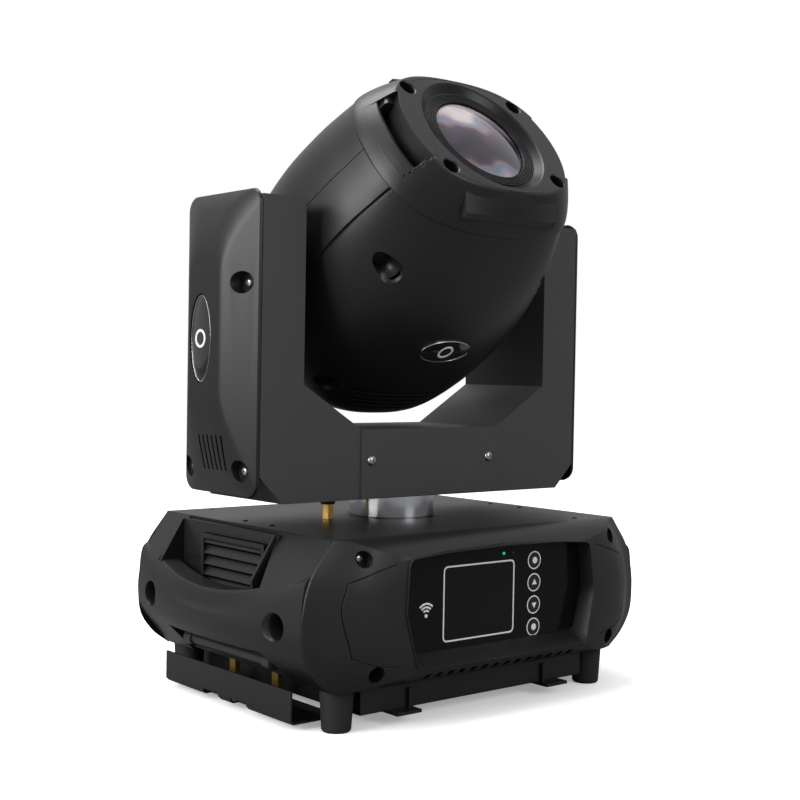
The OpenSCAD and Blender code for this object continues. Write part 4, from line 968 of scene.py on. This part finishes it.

# The front lens: a dark purple coating with painted reflections. The base colour below paints
# cream, pink and blue arcs across the glass in place of the studio's reflections.
glass_with_painted_reflections = bpy.data.materials.new("coated_glass")
glass_with_painted_reflections.use_nodes = True
tree = glass_with_painted_reflections.node_tree
shader = tree.nodes["Principled BSDF"]
shader.inputs["Roughness"].default_value = 0.03
shader.inputs["Specular IOR Level"].default_value = 0.35
shader.inputs["Coat Weight"].default_value = 0.5
shader.inputs["Coat Roughness"].default_value = 0.02
where = tree.nodes.new("ShaderNodeTexCoord")
lay = tree.nodes.new("ShaderNodeMapping")
lay.inputs["Rotation"].default_value = (0, 0, math.radians(28))
painted_reflection_rings = tree.nodes.new("ShaderNodeTexWave")
painted_reflection_rings.wave_type = "RINGS"
painted_reflection_rings.rings_direction = "SPHERICAL"
painted_reflection_rings.inputs["Scale"].default_value = 5.5
painted_reflection_rings.inputs["Distortion"].default_value = 2.2
painted_reflection_rings.inputs["Detail"].default_value = 1.0
painted_reflection_rings.inputs["Detail Scale"].default_value = 6.0
# Painted reflections: the ramp runs from the coating's dark purple to bright cream, with pink and
# pale blue bands between.
painted_reflection_ramp = tree.nodes.new("ShaderNodeValToRGB")
painted_reflection_ramp.color_ramp.elements[0].color = (0.012, 0.009, 0.018, 1)
painted_reflection_ramp.color_ramp.elements[1].color = (0.42, 0.36, 0.36, 1)
for at, colour in ((0.3, (0.05, 0.028, 0.05, 1)), (0.52, (0.17, 0.12, 0.14, 1)),
                   (0.7, (0.10, 0.15, 0.22, 1)), (0.86, (0.26, 0.21, 0.25, 1))):
    painted_reflection_ramp.color_ramp.elements.new(at).color = colour
tree.links.new(where.outputs["Object"], lay.inputs["Vector"])
tree.links.new(lay.outputs["Vector"], painted_reflection_rings.inputs["Vector"])
tree.links.new(painted_reflection_rings.outputs["Color"], painted_reflection_ramp.inputs["Fac"])
tree.links.new(painted_reflection_ramp.outputs["Color"], shader.inputs["Base Color"])
GLASS_R = 40.3
dome = [(GLASS_R, 113.0)]
for i in range(15):
    r = GLASS_R * (1 - i / 14) + 0.02
    dome.append((r, 137.2 - 6.6 * (r / GLASS_R) ** 2))
angles = [2 * math.pi * i / 96 for i in range(96)]
lens = loft("front_lens_glass", [[(r * math.cos(a), r * math.sin(a), level) for a in angles]
                                 for r, level in dome], TURN)
show(lens, "head", glass_with_painted_reflections, ["front_lens"], crease=40)

# ---------- works inside the head, the yoke and the base ----------
# Mostly unseen: motors, wheels, belts, the lamp engine and the power supply.
steel = finish_of("bright_steel", (0.48, 0.48, 0.49), 0.32, grain=800, depth=0.015, metal=1.0)
plated = finish_of("zinc_plate", (0.42, 0.43, 0.45), 0.4, grain=500, depth=0.03, metal=1.0)
cast = finish_of("bare_aluminium", (0.6, 0.61, 0.63), 0.36, grain=600, depth=0.03, metal=1.0)
motor_can = finish_of("motor_black", (0.012, 0.012, 0.013), 0.38, grain=700, depth=0.04)
nylon = finish_of("black_nylon", (0.011, 0.011, 0.011), 0.5, grain=1000, depth=0.04)
optic = finish_of("optic_glass", (0.35, 0.4, 0.42), 0.05, coat=1.0, patch=10, spread=0.3)
dress(cast, "pan_pulley", "tilt_pulley", "heat_sink", "head_chassis", "effect_motors")
dress(steel, "pan_bearing", "tilt_bearings", "tilt_trunnions", "guide_rods")
dress(plated, "power_supply", "led_engine")
dress(motor_can, "pan_motor", "tilt_motor")
dress(nylon, "fan_rotor", "focus_carriage", "prism_arm", "gobo_wheel")
dress(optic, "colour_wheel")
